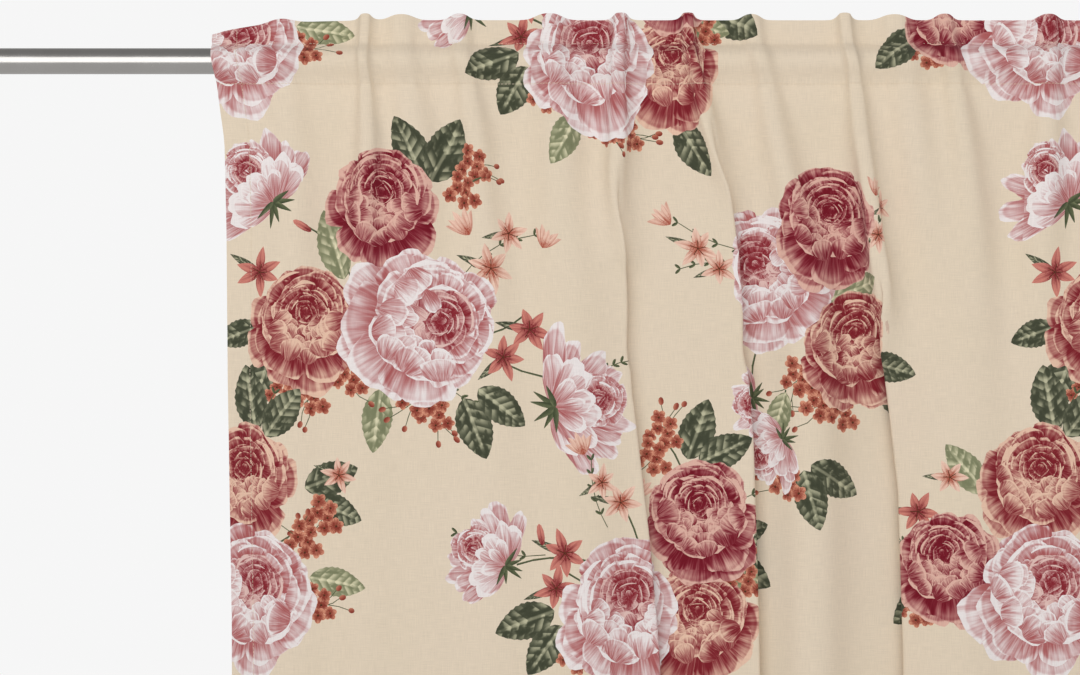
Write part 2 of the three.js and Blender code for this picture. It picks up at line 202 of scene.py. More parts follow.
def peony(art, place, size, name, seed, face):
    """A full peony. face is the direction, in degrees, that its heart is turned to."""
    rng = np.random.default_rng(seed)
    tones, heart_tones = FLOWER_TONES[name]
    centre = np.array(place, float)
    turn = math.radians(face)
    towards = pointing(turn)
    deep = 0.6 if name == "blush" else 1.0
    shadow = size * 0.7
    art.paint(PETAL, heart_tones, centre - [shadow, 0], 0.0, 2 * shadow, 2 * shadow, ring(24), -0.3, 1.0)
    skirt(art, tones, centre, size, 9, rng, turn, deep)
    skirt(art, tones, centre, size * 0.92, 8, rng, turn, deep)
    for reach, count in ((0.82, 9), (0.73, 9), (0.63, 9), (0.53, 8), (0.43, 8), (0.34, 7)):
        middle = centre + towards * size * (0.24 - 0.12 * reach)
        used = heart_tones if reach < 0.5 else tones
        petal_ring(art, used, middle, size, reach, count, rng, turn, 0.40, deep, (1.15, 1.6))
    heart = centre + towards * size * 0.2
    for reach, count in ((0.26, 6), (0.19, 5), (0.12, 4)):
        petal_ring(art, heart_tones, heart, size, reach, count, rng, turn, 0.28, deep, (1.2, 1.6), 0.6)
    petal(art, heart_tones, heart - towards * size * 0.05, turn, size * 0.13, size * 0.11, rng, 0.3, deep)
    for reach, count in ((0.32, 5), (0.45, 6), (0.58, 7), (0.71, 7)):
        middle = centre + towards * size * 0.04
        used = tones if reach > 0.4 else heart_tones
        for i in range(count):
            swing = (i + 0.5 + rng.uniform(-0.3, 0.3)) / count - 0.5
            angle = turn + math.pi + swing * math.radians(200)
            base = middle + pointing(angle) * size * reach * rng.uniform(0.93, 1.07)
            length = size * rng.uniform(0.24, 0.36) * (0.7 + 0.5 * reach)
            width = size * reach * rng.uniform(0.5, 0.8)
            heading = angle + math.pi + rng.uniform(-0.6, 0.6)
            petal(art, used, base, heading, length, width, rng, rng.uniform(0.44, 0.72), 0.55 * deep, 0.07)
            if rng.uniform() < 0.35:
                rolled_rim(art, used, base, heading, length, width, rng)


def side_peony(art, place, size, seed, face):
    """A pale peony from the side: a cup that opens towards face, with a green calyx at place."""
    rng = np.random.default_rng(seed)
    foot = np.array(place, float)
    turn = math.radians(face)
    for i in range(9):
        angle = turn + math.radians(-72 + 18 * i + rng.uniform(-6, 6))
        petal(art, BLUSH, foot + pointing(angle) * size * 0.25, angle, size * rng.uniform(1.1, 1.45),
              size * rng.uniform(0.5, 0.7), rng, rng.uniform(0.34, 0.5), 0.6, 0.09, 2)
    heart = foot + pointing(turn) * size * 0.95
    for reach, count in ((0.60, 9), (0.50, 8), (0.40, 7), (0.30, 6), (0.20, 5), (0.11, 3)):
        used = BLUSH_HEART if reach < 0.35 else BLUSH
        petal_ring(art, used, heart, size, reach, count, rng, turn, 0.38, 0.6, (1.15, 1.6))
    for swing, share in ((-78, 0.95), (74, 0.95), (-50, 0.98), (48, 1.0), (-26, 0.9), (28, 0.86), (0, 0.8),
                         (-42, 0.66), (38, 0.62), (-8, 0.55)):
        angle = turn + math.radians(swing + rng.uniform(-6, 6))
        length = size * 1.08 * share * rng.uniform(0.92, 1.05)
        width = size * share * rng.uniform(0.52, 0.72)
        base = foot + pointing(angle) * size * 0.05
        petal(art, BLUSH, base, angle, length, width, rng, rng.uniform(0.46, 0.74), 0.4, 0.08, 2)
        if rng.uniform() < 0.6:
            rolled_rim(art, BLUSH, base, angle, length, width, rng)
    for swing in (-130, 130, 165, -160, -95, 95):
        outline = ring(12)
        outline[:, 1] *= 1 - outline[:, 0] * 0.75
        angle = turn + math.radians(swing + rng.uniform(-8, 8))
        art.paint(STALK, TWIG, foot + pointing(turn) * size * 0.05, angle, size * rng.uniform(0.42, 0.6),
                  size * 0.17, outline)


def leaf(art, place, degrees, length, tones=DEEP_LEAF, plump=0.58):
    """A saw-edged oval leaf."""
    count = 21
    along = np.linspace(0, 1, count)
    half = np.sin(math.pi * along**0.85) ** 0.75 * np.where(np.arange(count) % 2, 1.0, 0.93)
    outline = np.concatenate([np.stack([along, half], 1), np.stack([along, -half], 1)[-2:0:-1]])
    length *= 1.2
    art.paint(LEAF, tones, place, math.radians(degrees), length, length * plump, outline)


def bow(start, end, bend, steps=5):
    """Points along a shallow arc."""
    way = end - start
    share = np.linspace(0, 1, steps + 1)[:, None]
    return start + way * share + np.array([-way[1], way[0]]) * bend * 4 * share * (1 - share)


def stalk(art, points, width):
    outline = np.array([(-0.04, -1), (1.04, -0.85), (1.04, 0.85), (-0.04, 1)])
    for first, last in zip(points[:-1], points[1:]):
        step = last - first
        art.paint(STALK, TWIG, first, math.atan2(step[1], step[0]), math.hypot(*step), width, outline)


def sprig(art, start, end, bend, seed):
    """A thin twig with small paired leaves."""
    rng = np.random.default_rng(seed)
    points = bow(start, end, bend)
    stalk(art, points, 1.1)
    step = end - start
    for point in points[1:]:
        for side in (-1, 1):
            angle = math.atan2(step[1], step[0]) + side * rng.uniform(0.5, 0.8)
            art.paint(STALK, TWIG, point, angle, 8.0, 3.2, ring(8))


def blossom(art, place, size, seed):
    """A small flower of five round petals with a dark eye."""
    rng = np.random.default_rng(seed)
    start = rng.uniform(0, 2 * math.pi)
    for i in range(5):
        angle = start + 2 * math.pi * i / 5
        art.paint(PETAL, RUST, place, angle, size, size * 0.82, ring(9), rng.uniform(0.3, 0.6), 0.45)
    art.paint(BERRY, EYE, place - [size * 0.16, 0], 0.0, size * 0.32, size * 0.32, ring(6))


def berries(art, place, seed):
    """A tight head of rust-coloured blossoms, with a few buds on stalks beside it."""
    rng = np.random.default_rng(seed)
    outward = rng.uniform(0, 2 * math.pi)
    for _ in range(3):
        angle = outward + rng.uniform(-0.6, 0.6)
        end = place + pointing(angle) * rng.uniform(25, 36)
        stalk(art, bow(place, end, rng.uniform(-0.15, 0.15), 3), 1.0)
        art.paint(BERRY, RUST, end, angle, rng.uniform(7, 9), 6.0, ring(9))
    for i in range(7):
        spot = place + pointing(i * 2.4) * 19 * math.sqrt((i + 0.4) / 7)
        blossom(art, spot, rng.uniform(7.8, 9.6), seed * 31 + i)


def lily(art, place, size, tones, seed, degrees):
    """An open lily of six narrow petals that curl sideways, with a slim leaf beside it."""
    rng = np.random.default_rng(seed)
    start = math.radians(degrees)
    art.paint(LEAF, DEEP_LEAF, place, start + 2.6, size * 1.5, size * 0.34, blade(0.8))
    for i in range(6):
        angle = start + math.pi * (0.5 + i * 2 + (i // 3)) / 3 + rng.uniform(-0.15, 0.15)
        bent = blade(0.8)
        bent[:, 1] += rng.uniform(-0.8, 0.8) * bent[:, 0] ** 2
        art.paint(LILY, tones, place, angle, size * rng.uniform(0.85, 1.1), size * 0.42, bent)
    thread = np.array([(0, -1), (1, -1), (1, 1), (0, 1)], float)
    for i in range(5):
        art.paint(STALK, EYE, place, start + i * 1.3, size * 0.36, 0.9, thread)


def side_lily(art, place, size, seed, degrees):
    """A trumpet lily from the side, with petals that curl back."""
    rng = np.random.default_rng(seed)
    for swing, curl in ((-28, -1.4), (28, 1.4), (-13, -0.8), (13, 0.8), (0, 0.2)):
        bent = blade(0.9)
        bent[:, 1] += curl * bent[:, 0] ** 2.5
        angle = math.radians(degrees + swing + rng.uniform(-4, 4))
        art.paint(LILY, PEACH, place, angle, size * rng.uniform(1.1, 1.35), size * 0.42, bent)


def paint_item(art, centre, seed, what, x, y, *rest):
    """One motif of a bouquet, at x, y millimetres from its centre."""
    spot = centre + [x, y]
    if what in FLOWER_TONES:
        peony(art, spot, 1.06 * rest[0], what, seed, rest[1])
    elif what == "side":
        side_peony(art, spot, rest[0], seed, rest[1])
    elif what == "leaf":
        leaf(art, spot, *rest)
    elif what == "pale leaf":
        leaf(art, spot, *rest, PALE_LEAF, 0.5)
    elif what == "berries":
        berries(art, spot, seed)
    elif what == "lily":
        lily(art, spot, rest[0], PEACH, seed, rest[1])
    elif what == "red lily":
        lily(art, spot, rest[0], WINE, seed, rest[1])
    elif what == "side lily":
        side_lily(art, spot, rest[0], seed, rest[1])
    elif what == "bud":
        art.paint(LILY, WINE, spot, math.radians(rest[0]), 24, 8, ring(10))
    elif what == "stem":
        stalk(art, bow(spot, centre + rest[:2], rest[2]), 2.2)
    elif what == "sprig":
        sprig(art, spot, centre + rest[:2], rest[2], seed)


# Each bouquet's motifs from back to front: name, place, then size and direction or a stem's end and bend.
WIDE_BOUQUET = [
    ("stem", -118, 70, -60, 10, 0.1), ("stem", 150, -95, 60, -30, 0.12), ("stem", 95, 30, 40, -20, 0.1),
    ("stem", 130, -30, 70, -50, 0.1), ("sprig", 60, 10, 150, 58, 0.1), ("sprig", 205, -100, 250, -78, 0.1),
    ("sprig", 40, -100, 95, -128, -0.1),
    ("pale leaf", -70, 10, 108, 66), ("leaf", 28, 118, 112, 62), ("leaf", 36, 116, 58, 66),
    ("berries", 88, 132), ("berries", 72, 104),
    ("leaf", -150, -68, 248, 60), ("leaf", -168, -40, 200, 44), ("berries", -138, -112),
    ("berries", -108, -118), ("pale leaf", -28, -108, 262, 58), ("leaf", 62, -118, 290, 58),
    ("leaf", 78, -108, 322, 54), ("berries", -62, -98), ("berries", 30, -136), ("berries", 10, -120),
    ("lily", 96, 22, 27, 10), ("side lily", 76, 58, 24, 120), ("lily", 122, 60, 22, 40),
    ("side lily", 158, 44, 20, 60), ("red lily", 138, -44, 27, 20), ("red lily", 108, -74, 26, 70),
    ("bud", -108, 62, 150), ("red lily", -168, 18, 26, 0),
    ("side", -150, 92, 50, 130), ("side", 160, -128, 54, 10),
    ("coral", -112, -38, 62, 95), ("burgundy", -22, 92, 62, 85), ("blush", 22, -38, 80, 10),
]
TALL_BOUQUET = [
    ("stem", -60, -100, -20, -30, 0.1), ("stem", -120, 30, -40, 20, 0.08),
    ("stem", -10, -205, -20, -110, 0.1),
    ("sprig", -60, 40, -168, 72, 0.1), ("sprig", 80, 40, 112, 98, -0.1), ("sprig", -90, 20, -170, 22, -0.1),
    ("pale leaf", 30, -12, 20, 60), ("leaf", 96, -88, 300, 58), ("leaf", 112, -78, 345, 48),
    ("leaf", 8, -190, 330, 56), ("leaf", 0, -196, 285, 56), ("berries", -20, -212), ("berries", 18, -126),
    ("berries", -4, -98), ("berries", 48, -136), ("pale leaf", -20, -112, 250, 50),
    ("lily", -150, 44, 24, 10), ("lily", -128, 22, 20, 50), ("side lily", -176, 70, 20, 130),
    ("lily", 104, 58, 20, 20), ("lily", 118, 88, 18, 50), ("side lily", 100, 100, 18, 70),
    ("side", -58, -118, 38, 190), ("side", -24, -162, 36, 215),
    ("blush", -42, 16, 74, 140), ("coral", 66, -60, 60, 90), ("burgundy", 34, 72, 60, 80),
]
ROUND_BOUQUET = [
    ("stem", -160, 0, -70, 0, 0.08), ("stem", -104, -10, -60, -60, 0.1), ("stem", -40, 60, -20, 0, 0.05),
    ("stem", 40, 130, 60, 60, 0.1), ("sprig", -60, 40, -78, 112, 0.08), ("sprig", -130, 10, -226, 34, 0.1),
    ("sprig", 80, 60, 160, 96, -0.1),
    ("leaf", 62, 112, 70, 58), ("leaf", 74, 108, 25, 54), ("berries", 36, 140), ("berries", 24, 112),
    ("leaf", -120, -50, 200, 58), ("leaf", -112, -66, 235, 54), ("leaf", 126, 8, 330, 58),
    ("leaf", 132, 22, 20, 46), ("pale leaf", 90, -6, 345, 54), ("berries", -96, -100),
    ("berries", -30, -136), ("berries", 10, -142), ("berries", 122, -20), ("pale leaf", -60, -118, 235, 56),
    ("leaf", 70, -128, 300, 56), ("red lily", -108, 12, 26, 10), ("red lily", -118, -26, 25, 50),
    ("bud", -132, 20, 100), ("lily", -44, 66, 24, 20), ("lily", -66, 88, 20, 60),
    ("side lily", -86, 118, 20, 110), ("side lily", 4, 70, 20, 60),
    ("side", -172, -2, 42, 150),
    ("coral", 70, -66, 62, 85), ("burgundy", 76, 50, 62, 95), ("blush", -32, -52, 78, 100),
]
SMALL_BOUQUET = [
    ("stem", 90, 30, 40, 0, 0.1), ("sprig", 40, 90, 60, 168, 0.1), ("sprig", -120, 0, -166, 44, 0.1),
    ("leaf", 36, 128, 100, 60), ("leaf", 48, 122, 52, 54), ("pale leaf", -40, 60, 130, 58),
    ("leaf", 92, 66, 20, 54), ("leaf", 100, 52, 340, 50), ("berries", 112, 34), ("berries", 90, 8),
    ("berries", -120, -66), ("leaf", -128, -40, 220, 56), ("pale leaf", 96, -30, 350, 54),
    ("berries", 104, -60), ("red lily", -116, 40, 25, 30), ("lily", 130, 80, 20, 10),
    ("lily", -80, 78, 21, 30),
    ("burgundy", -84, -16, 58, 110), ("coral", 18, 74, 62, 80), ("blush", 26, -50, 76, 60),
]
# Each bouquet with its centre in the repeat.
BOUQUETS = [
    ((205, 305), WIDE_BOUQUET),
    ((712, 305), TALL_BOUQUET),
    ((484, 8), ROUND_BOUQUET),
    ((998, 24), SMALL_BOUQUET),
]


def paint_repeat():
    art = Artwork()
    for number, (centre, motifs) in enumerate(BOUQUETS):
        for place, motif in enumerate(motifs):
            paint_item(art, np.array(centre, float), 100 * (number + 1) + place, *motif)
    return art.repeated()


def inside(outline, points):
    """Which points lie within a closed outline."""
    x, y = points[:, 0], points[:, 1]
    within = np.zeros(len(points), bool)
    for (x0, y0), (x1, y1) in zip(outline, np.roll(outline, -1, 0)):
        crosses = (y0 > y) != (y1 > y)
        if crosses.any():
            within[crosses] ^= x[crosses] < x0 + (y[crosses] - y0) * (x1 - x0) / (y1 - y0)
    return within


def topmost(art, points):
    """The number of the last painted shape over each point, or -1."""
    top = np.full(len(points), -1)
    order = np.argsort(points[:, 0])
    ordered = points[order, 0]
    for number, outline in enumerate(art.outlines):
        low, high = outline.min(0), outline.max(0)
        first, last = np.searchsorted(ordered, [low[0], high[0]])
        near = order[first:last]
        near = near[(points[near, 1] >= low[1]) & (points[near, 1] <= high[1])]
        if len(near):
            top[near[inside(outline, points[near])]] = number
    return top


def triangulate(points, edges):
    """Triangles that keep every edge. Where edges cross, the crossing becomes a corner."""
    made = delaunay_2d_cdt([tuple(p) for p in points], [tuple(e) for e in edges], [], 0, 1e-4, False)
    return np.array([tuple(p) for p in made[0]]), np.array(made[2])


def repeat_border(first):
    """The repeat's four sides as points, and as edges numbered from first."""
    across = np.linspace(0, REPEAT_WIDTH, round(REPEAT_WIDTH / CELL_WIDTH) + 1)
    up = np.linspace(0, REPEAT_HEIGHT, round(REPEAT_HEIGHT / CELL_HEIGHT) + 1)
    points = [(x, 0) for x in across[:-1]] + [(REPEAT_WIDTH, y) for y in up[:-1]]
    points += [(x, REPEAT_HEIGHT) for x in across[:0:-1]] + [(0, y) for y in up[:0:-1]]
    return points, [(first + i, first + (i + 1) % len(points)) for i in range(len(points))]


def visible_edges(corners, faces, top):
    """The edges between different shapes, without the needless corners along them."""
    pairs = np.sort(np.concatenate([faces[:, [0, 1]], faces[:, [1, 2]], faces[:, [2, 0]]]), 1)
    owner = np.tile(top, 3)
    order = np.lexsort((pairs[:, 1], pairs[:, 0]))
    pairs, owner = pairs[order], owner[order]
    shared = (pairs[1:] == pairs[:-1]).all(1) & (owner[1:] != owner[:-1])
    around = {}
    for a, b in pairs[1:][shared].tolist():
        around.setdefault(a, set()).add(b)
        around.setdefault(b, set()).add(a)
    for point in list(around):
        if len(around[point]) != 2:
            continue
        a, b = around[point]
        before = corners[point] - corners[a]
        after = corners[b] - corners[point]
        bend = abs(before[0] * after[1] - before[1] * after[0])
        straight = bend < 0.012 * math.hypot(*before) * math.hypot(*after) and before @ after > 0
        if straight and b not in around[a]:
            around[a].discard(point)
            around[b].discard(point)
            around[a].add(b)
            around[b].add(a)
            del around[point]
    return np.array([(a, b) for a in around for b in around[a] if a < b])


class Pattern:
    """One repeat of the print as flat triangles, and the shape that each of them shows."""

    def __init__(self):
        art = paint_repeat()
        points = np.concatenate(art.outlines)
        edges = []
        first = 0
        for outline in art.outlines:
            count = len(outline)
            edges += [(first + i, first + (i + 1) % count) for i in range(count)]
            first += count
        border, border_edges = repeat_border(len(points))
        corners, faces = triangulate([*points, *border], edges + border_edges)
        seen = visible_edges(corners, faces, topmost(art, corners[faces].mean(1)))
        used = np.unique(seen)
        border, border_edges = repeat_border(len(used))
        grid = [(x, y) for x in np.arange(CELL_WIDTH, REPEAT_WIDTH - 1, CELL_WIDTH)
                for y in np.arange(CELL_HEIGHT, REPEAT_HEIGHT - 1, CELL_HEIGHT)]
        edges = [*np.searchsorted(used, seen), *border_edges]
        corners, faces = triangulate([*corners[used], *border, *grid], edges)
        middles = corners[faces].mean(1)
        faces = faces[((middles > 0) & (middles < [REPEAT_WIDTH, REPEAT_HEIGHT])).all(1)]
        self.triangles = corners[faces]
        self.shape = topmost(art, self.triangles.mean(1))
        self.base = np.array([shape[0] for shape in art.shapes])
        self.along = np.array([shape[1] / shape[3] for shape in art.shapes])
        self.across = np.array([shape[2] / shape[4] for shape in art.shapes])
        self.dark = np.sqrt([shape[5][0] for shape in art.shapes])
        self.light = np.sqrt([shape[5][1] for shape in art.shapes])
        self.kind = np.array([shape[6] for shape in art.shapes], float)

    def over(self, left, right, top, bottom):
        """Triangles, their shapes and each shape's shift over a rectangle of cloth. t runs down."""
        parts = []
        for column in range(math.floor(left / REPEAT_WIDTH), math.ceil(right / REPEAT_WIDTH)):
            for row in range(math.floor(top / REPEAT_HEIGHT), math.ceil(bottom / REPEAT_HEIGHT)):
                shift = np.array([column * REPEAT_WIDTH, (row + 1) * REPEAT_HEIGHT])
                flat = self.triangles * [1, -1] + shift
                parts.append((flat, self.shape, np.tile(shift, (len(flat), 1))))
        flat, shape, shift = [np.concatenate(part) for part in zip(*parts)]
        for axis, limit, side in ((0, left, 1), (0, right, -1), (1, top, 1), (1, bottom, -1)):
            flat, source = clip(flat, axis, limit, side)
            shape, shift = shape[source], shift[source]
        return flat, shape, shift

    def described(self, flat, shape, shift):
        """For each corner its place in its shape, and for each triangle its shape's kind and colours."""
        printed = shape >= 0
        number = np.where(printed, shape, 0)
        own = (flat - shift[:, None]) * [1, -1] - self.base[number][:, None]
        place = np.zeros(flat.shape[:2] + (3,))
        place[..., 0] = np.einsum("nkd,nd->nk", own, self.along[number])
        place[..., 1] = np.einsum("nkd,nd->nk", own, self.across[number])
        place[..., 2] = (number * 0.618 % 17)[:, None]
        return place, self.kind[number] * printed[:, None], self.dark[number], self.light[number]


def clip(flat, axis, limit, side):
    """The part of some triangles on one side of a line, and the triangle that each piece came from."""
    height = (flat[:, :, axis] - limit) * side
    height[np.abs(height) < 1e-6] = 0
    within = height >= 0
    whole = within.all(1)
    pieces = [flat[whole]]
    sources = [np.nonzero(whole)[0]]
    for count in (1, 2):
        chosen = np.nonzero((within.sum(1) == count) & (height.max(1) > 0))[0]
        lone = within[chosen] if count == 1 else ~within[chosen]
        first = lone.argmax(1)
        order = (first[:, None] + np.arange(3)) % 3
        rows = np.arange(len(chosen))[:, None]
        tri = flat[chosen][rows, order]
        h = height[chosen][rows, order]
        ab = tri[:, 0] + (tri[:, 1] - tri[:, 0]) * (h[:, 0] / (h[:, 0] - h[:, 1]))[:, None]
        ac = tri[:, 0] + (tri[:, 2] - tri[:, 0]) * (h[:, 0] / (h[:, 0] - h[:, 2]))[:, None]
        if count == 1:
            pieces.append(np.stack([tri[:, 0], ab, ac], 1))
            sources.append(chosen)
        else:
            pieces += [np.stack([ab, tri[:, 1], tri[:, 2]], 1), np.stack([ab, tri[:, 2], ac], 1)]
            sources += [chosen, chosen]
    flat, source = np.concatenate(pieces), np.concatenate(sources)
    first, second = flat[:, 1] - flat[:, 0], flat[:, 2] - flat[:, 0]
    real = np.abs(first[:, 0] * second[:, 1] - first[:, 1] * second[:, 0]) > 1e-9
    return flat[real], source[real]


# ---------------------------------------------------------------- how a panel hangs

PANEL_OUTER = 1060.0
HUNG_WIDTH = 1033.0
POCKET_ALLOWANCE = 52.0
LEAD_WINDOW = 40.0
TUCK_TURN = math.radians(165)
TUCK_SPREAD = 45.0
TURN_SIZES = np.linspace(0, 2.9, 146)
TURN_SPAN = np.linspace(-4, 4, 801)


def gather_turn(u):
    """The cloth's slope across one gather, which stands towards the room."""
    return -u * np.exp(0.5 - u * u / 2)


def tuck_turn(u):
    """The cloth's slope across a fold that lies flat on its neighbour."""
    return -np.exp(-(u**4))


def sum_over(turn, of):
    """For each size of turn, what one fold of unit width adds up to."""
    step = TURN_SPAN[1] - TURN_SPAN[0]
    return np.array([of(size * turn(TURN_SPAN)).sum() for size in TURN_SIZES]) * step


GATHER_USE = sum_over(gather_turn, lambda angle: 1 - np.cos(angle))
TUCK_USE = sum_over(tuck_turn, lambda angle: 1 - np.cos(angle))
TUCK_STEP = sum_over(tuck_turn, np.sin)


class Fold:
    """One fold down the panel. path gives its distance from the outer edge at some depths t,
    use the cloth that it takes up at the heading and low down, and lap, if not 0, the side that
    its flat tuck faces: 1 towards the leading edge, -1 towards the outer edge."""

    def __init__(self, path, use, lap=0, lap_from=0.0, lap_over=130.0, wide=1.0):
        self.path = np.array(path, float)
        self.use = use
        self.lap = lap
        self.lap_from = lap_from
        self.lap_over = lap_over
        self.wide = wide

    def place(self, t):
        return np.interp(t, self.path[:, 0], self.path[:, 1])

    def takes(self, t):
        return self.use[0] + (self.use[1] - self.use[0]) * smooth(70, 330, t)

    def tucked(self, t):
        return smooth(self.lap_from, self.lap_from + self.lap_over, t) if self.lap else 0.0


def gather_width(t):
    return 10.5 + 5.0 * smooth(50, 150, t) + 14.0 * smooth(150, 450, t)


LEAN_DEPTHS = [43, 76, 108, 140, 238, 400, 529, 659, 1400]
LEAN = [0, 5.4, 9.7, 14, 16, 17.3, 19.4, 21.6, 23]


def lean(t):
    """How far the outer edge hangs in from the heading's end."""
    return np.interp(t, LEAN_DEPTHS, LEAN)


class Drape:
    """The hung shape of a panel's cloth: for each depth t and distance s from the outer edge,
    how far it reaches across, and how far it stands towards the room."""

    def __init__(self, folds, seed):
        self.folds = folds
        self.rng = np.random.default_rng(seed)
        self.depths = np.concatenate([
            np.arange(0, 150, 5), np.arange(150, 700, 10), np.arange(700, 2600, 25), [FLAT_DROP],
        ])
        self.places = np.arange(0, FLAT_WIDTH + 0.5)
        self.waves = self.rng.uniform([0.2, 0.4, 0, 0], [1, 1, 6.3, 6.3], (9, 4))
        rows = [self.row(t) for t in self.depths]
        self.across = np.array([row[0] for row in rows])
        self.forward = np.array([row[1] for row in rows])

    def row(self, t):
        width = HUNG_WIDTH - lean(t)
        takes = np.array([fold.takes(t) for fold in self.folds])
        tucked = np.array([fold.tucked(t) for fold in self.folds])
        loose = takes * (1 - tucked)
        loose *= max(FLAT_WIDTH - width - (takes * tucked).sum(), 1.0) / loose.sum()
        used = loose + takes * tucked
        before = np.cumsum(used) - used / 2
        gathers = np.zeros(len(self.places))
        tucks = np.zeros(len(self.places))
        for fold, share, soft, flat, taken in zip(self.folds, tucked, loose, takes * tucked, before):
            at = self.places - (fold.place(t) * width / HUNG_WIDTH + taken)
            wide = gather_width(t) * fold.wide
            gathers += np.interp(soft / wide, GATHER_USE, TURN_SIZES) * gather_turn(at / wide)
            if share > 0:
                wide = max(flat / TUCK_USE[np.searchsorted(TURN_SIZES, TUCK_TURN)], 6.0)
                size = np.interp(flat / wide, TUCK_USE, TURN_SIZES)
                back = wide * np.interp(size, TURN_SIZES, -TUCK_STEP)
                spread = TUCK_SPREAD
                tucks += fold.lap * size * tuck_turn(at / wide)
                bell = np.exp(-((at / spread) ** 2) / 2)
                tucks += fold.lap * back / (spread * math.sqrt(2 * math.pi)) * bell
        still = 1 - smooth(FLAT_WIDTH - LEAD_WINDOW - 25, FLAT_WIDTH - LEAD_WINDOW, self.places)
        low, high = 0.0, 4.0
        for _ in range(30):
            share = (low + high) / 2
            angle = (share * gathers + tucks) * still
            angle = (angle[1:] + angle[:-1]) / 2
            if np.cos(angle).sum() > width:
                low = share
            else:
                high = share
        across = np.concatenate([[0], np.cumsum(np.cos(angle))])
        forward = np.concatenate([[0], np.cumsum(np.sin(angle))])
        forward -= forward[-1] * self.places / FLAT_WIDTH
        return across + lean(t), forward + self.ripple(t) * still

    def ripple(self, t):
        """Slight waves of the hanging cloth."""
        total = np.zeros(len(self.places))
        for scale, tall, phase, shift in self.waves:
            drift = 0.6 * math.sin(t / (240 * tall) + shift)
            wave = np.sin(self.places / (38 * scale + 14) + phase + drift)
            total += tall * wave * math.sin(t / (300 * scale + 120) + shift)
        return 0.7 * total * smooth(90, 420, t) * smooth(0, 60, self.places)


def tangent_path(start, end, side):
    """The section of a layer that is stretched over the rod from start to end, as (y, z) from its
    axis. side is -1 in front of the rod and 1 behind it."""
    def touching(point, turn):
        reach = math.hypot(*point)
        return math.atan2(point[1], side * point[0]) + turn * math.acos(WRAP_RADIUS / reach)

    angles = np.linspace(touching(start, -1), touching(end, 1), 15)
    arc = np.stack([side * WRAP_RADIUS * np.cos(angles), WRAP_RADIUS * np.sin(angles)], 1)
    return [start, *arc, end]


FRONT_SEAM = (-1.4, POCKET_TOP)
FRONT_LOWER_SEAM = (-4.0, POCKET_BOTTOM)
FRONT_SECTION = [
    (-1.0, HEADING_TOP), *tangent_path(FRONT_SEAM, FRONT_LOWER_SEAM, -1),
    (-5.2, -50.0), (-4.6, -80.0), (-3.0, -180.0), (-2.0, -400.0), (-2.0, -2556.0),
]
BACK_GAP = 1.6
BACK_SEAM = (FRONT_SEAM[0] + BACK_GAP, POCKET_TOP)
BACK_LOWER_SEAM = (FRONT_LOWER_SEAM[0] + BACK_GAP, POCKET_BOTTOM)
BACK_SECTION = [
    (-1.0 + BACK_GAP, HEADING_TOP), *tangent_path(BACK_SEAM, BACK_LOWER_SEAM, 1),
    (-5.2 + BACK_GAP, -50.0), (-4.7 + BACK_GAP, POCKET_BOTTOM - POCKET_ALLOWANCE),
]


def along_section(section):
    """The section's points by the length of cloth down to each: (t, y, z)."""
    points = np.array(section, float)
    steps = np.hypot(*np.diff(points, axis=0).T)
    return np.concatenate([[0], np.cumsum(steps)]), points[:, 0], points[:, 1]


FRONT_LINE = along_section(FRONT_SECTION)
BACK_LINE = along_section(BACK_SECTION)
FLAT_DROP = FRONT_LINE[0][-1]
BACK_DROP = BACK_LINE[0][-1]


class Surface:
    """A smooth sheet given by points at rows t and columns u, in metres."""

    def __init__(self, rows, columns, points):
        self.rows = rows
        self.columns = columns
        down = np.gradient(points, rows, axis=0)
        right = np.gradient(points, columns, axis=1)
        facing = np.cross(right, -down)
        facing /= np.linalg.norm(facing, axis=2)[..., None]
        self.points = points
        self.facing = facing

    def at(self, u, t):
        """The place of each point of the cloth, and the way it faces."""
        row = np.clip(np.searchsorted(self.rows, t, "right") - 1, 0, len(self.rows) - 2)
        down = ((t - self.rows[row]) / (self.rows[row + 1] - self.rows[row]))[:, None]
        step = self.columns[1] - self.columns[0]
        column = np.clip(((u - self.columns[0]) / step).astype(int), 0, len(self.columns) - 2)
        over = ((u - self.columns[column]) / step)[:, None]
        found = []
        for grid in (self.points, self.facing):
            upper = grid[row, column] * (1 - over) + grid[row, column + 1] * over
            lower = grid[row + 1, column] * (1 - over) + grid[row + 1, column + 1] * over
            found.append(upper * (1 - down) + lower * down)
        found[1] /= np.linalg.norm(found[1], axis=1)[:, None]
        return found


FREE_FOLD_DEPTH = 27.0
HELD_FOLD_DEPTH = 13.0


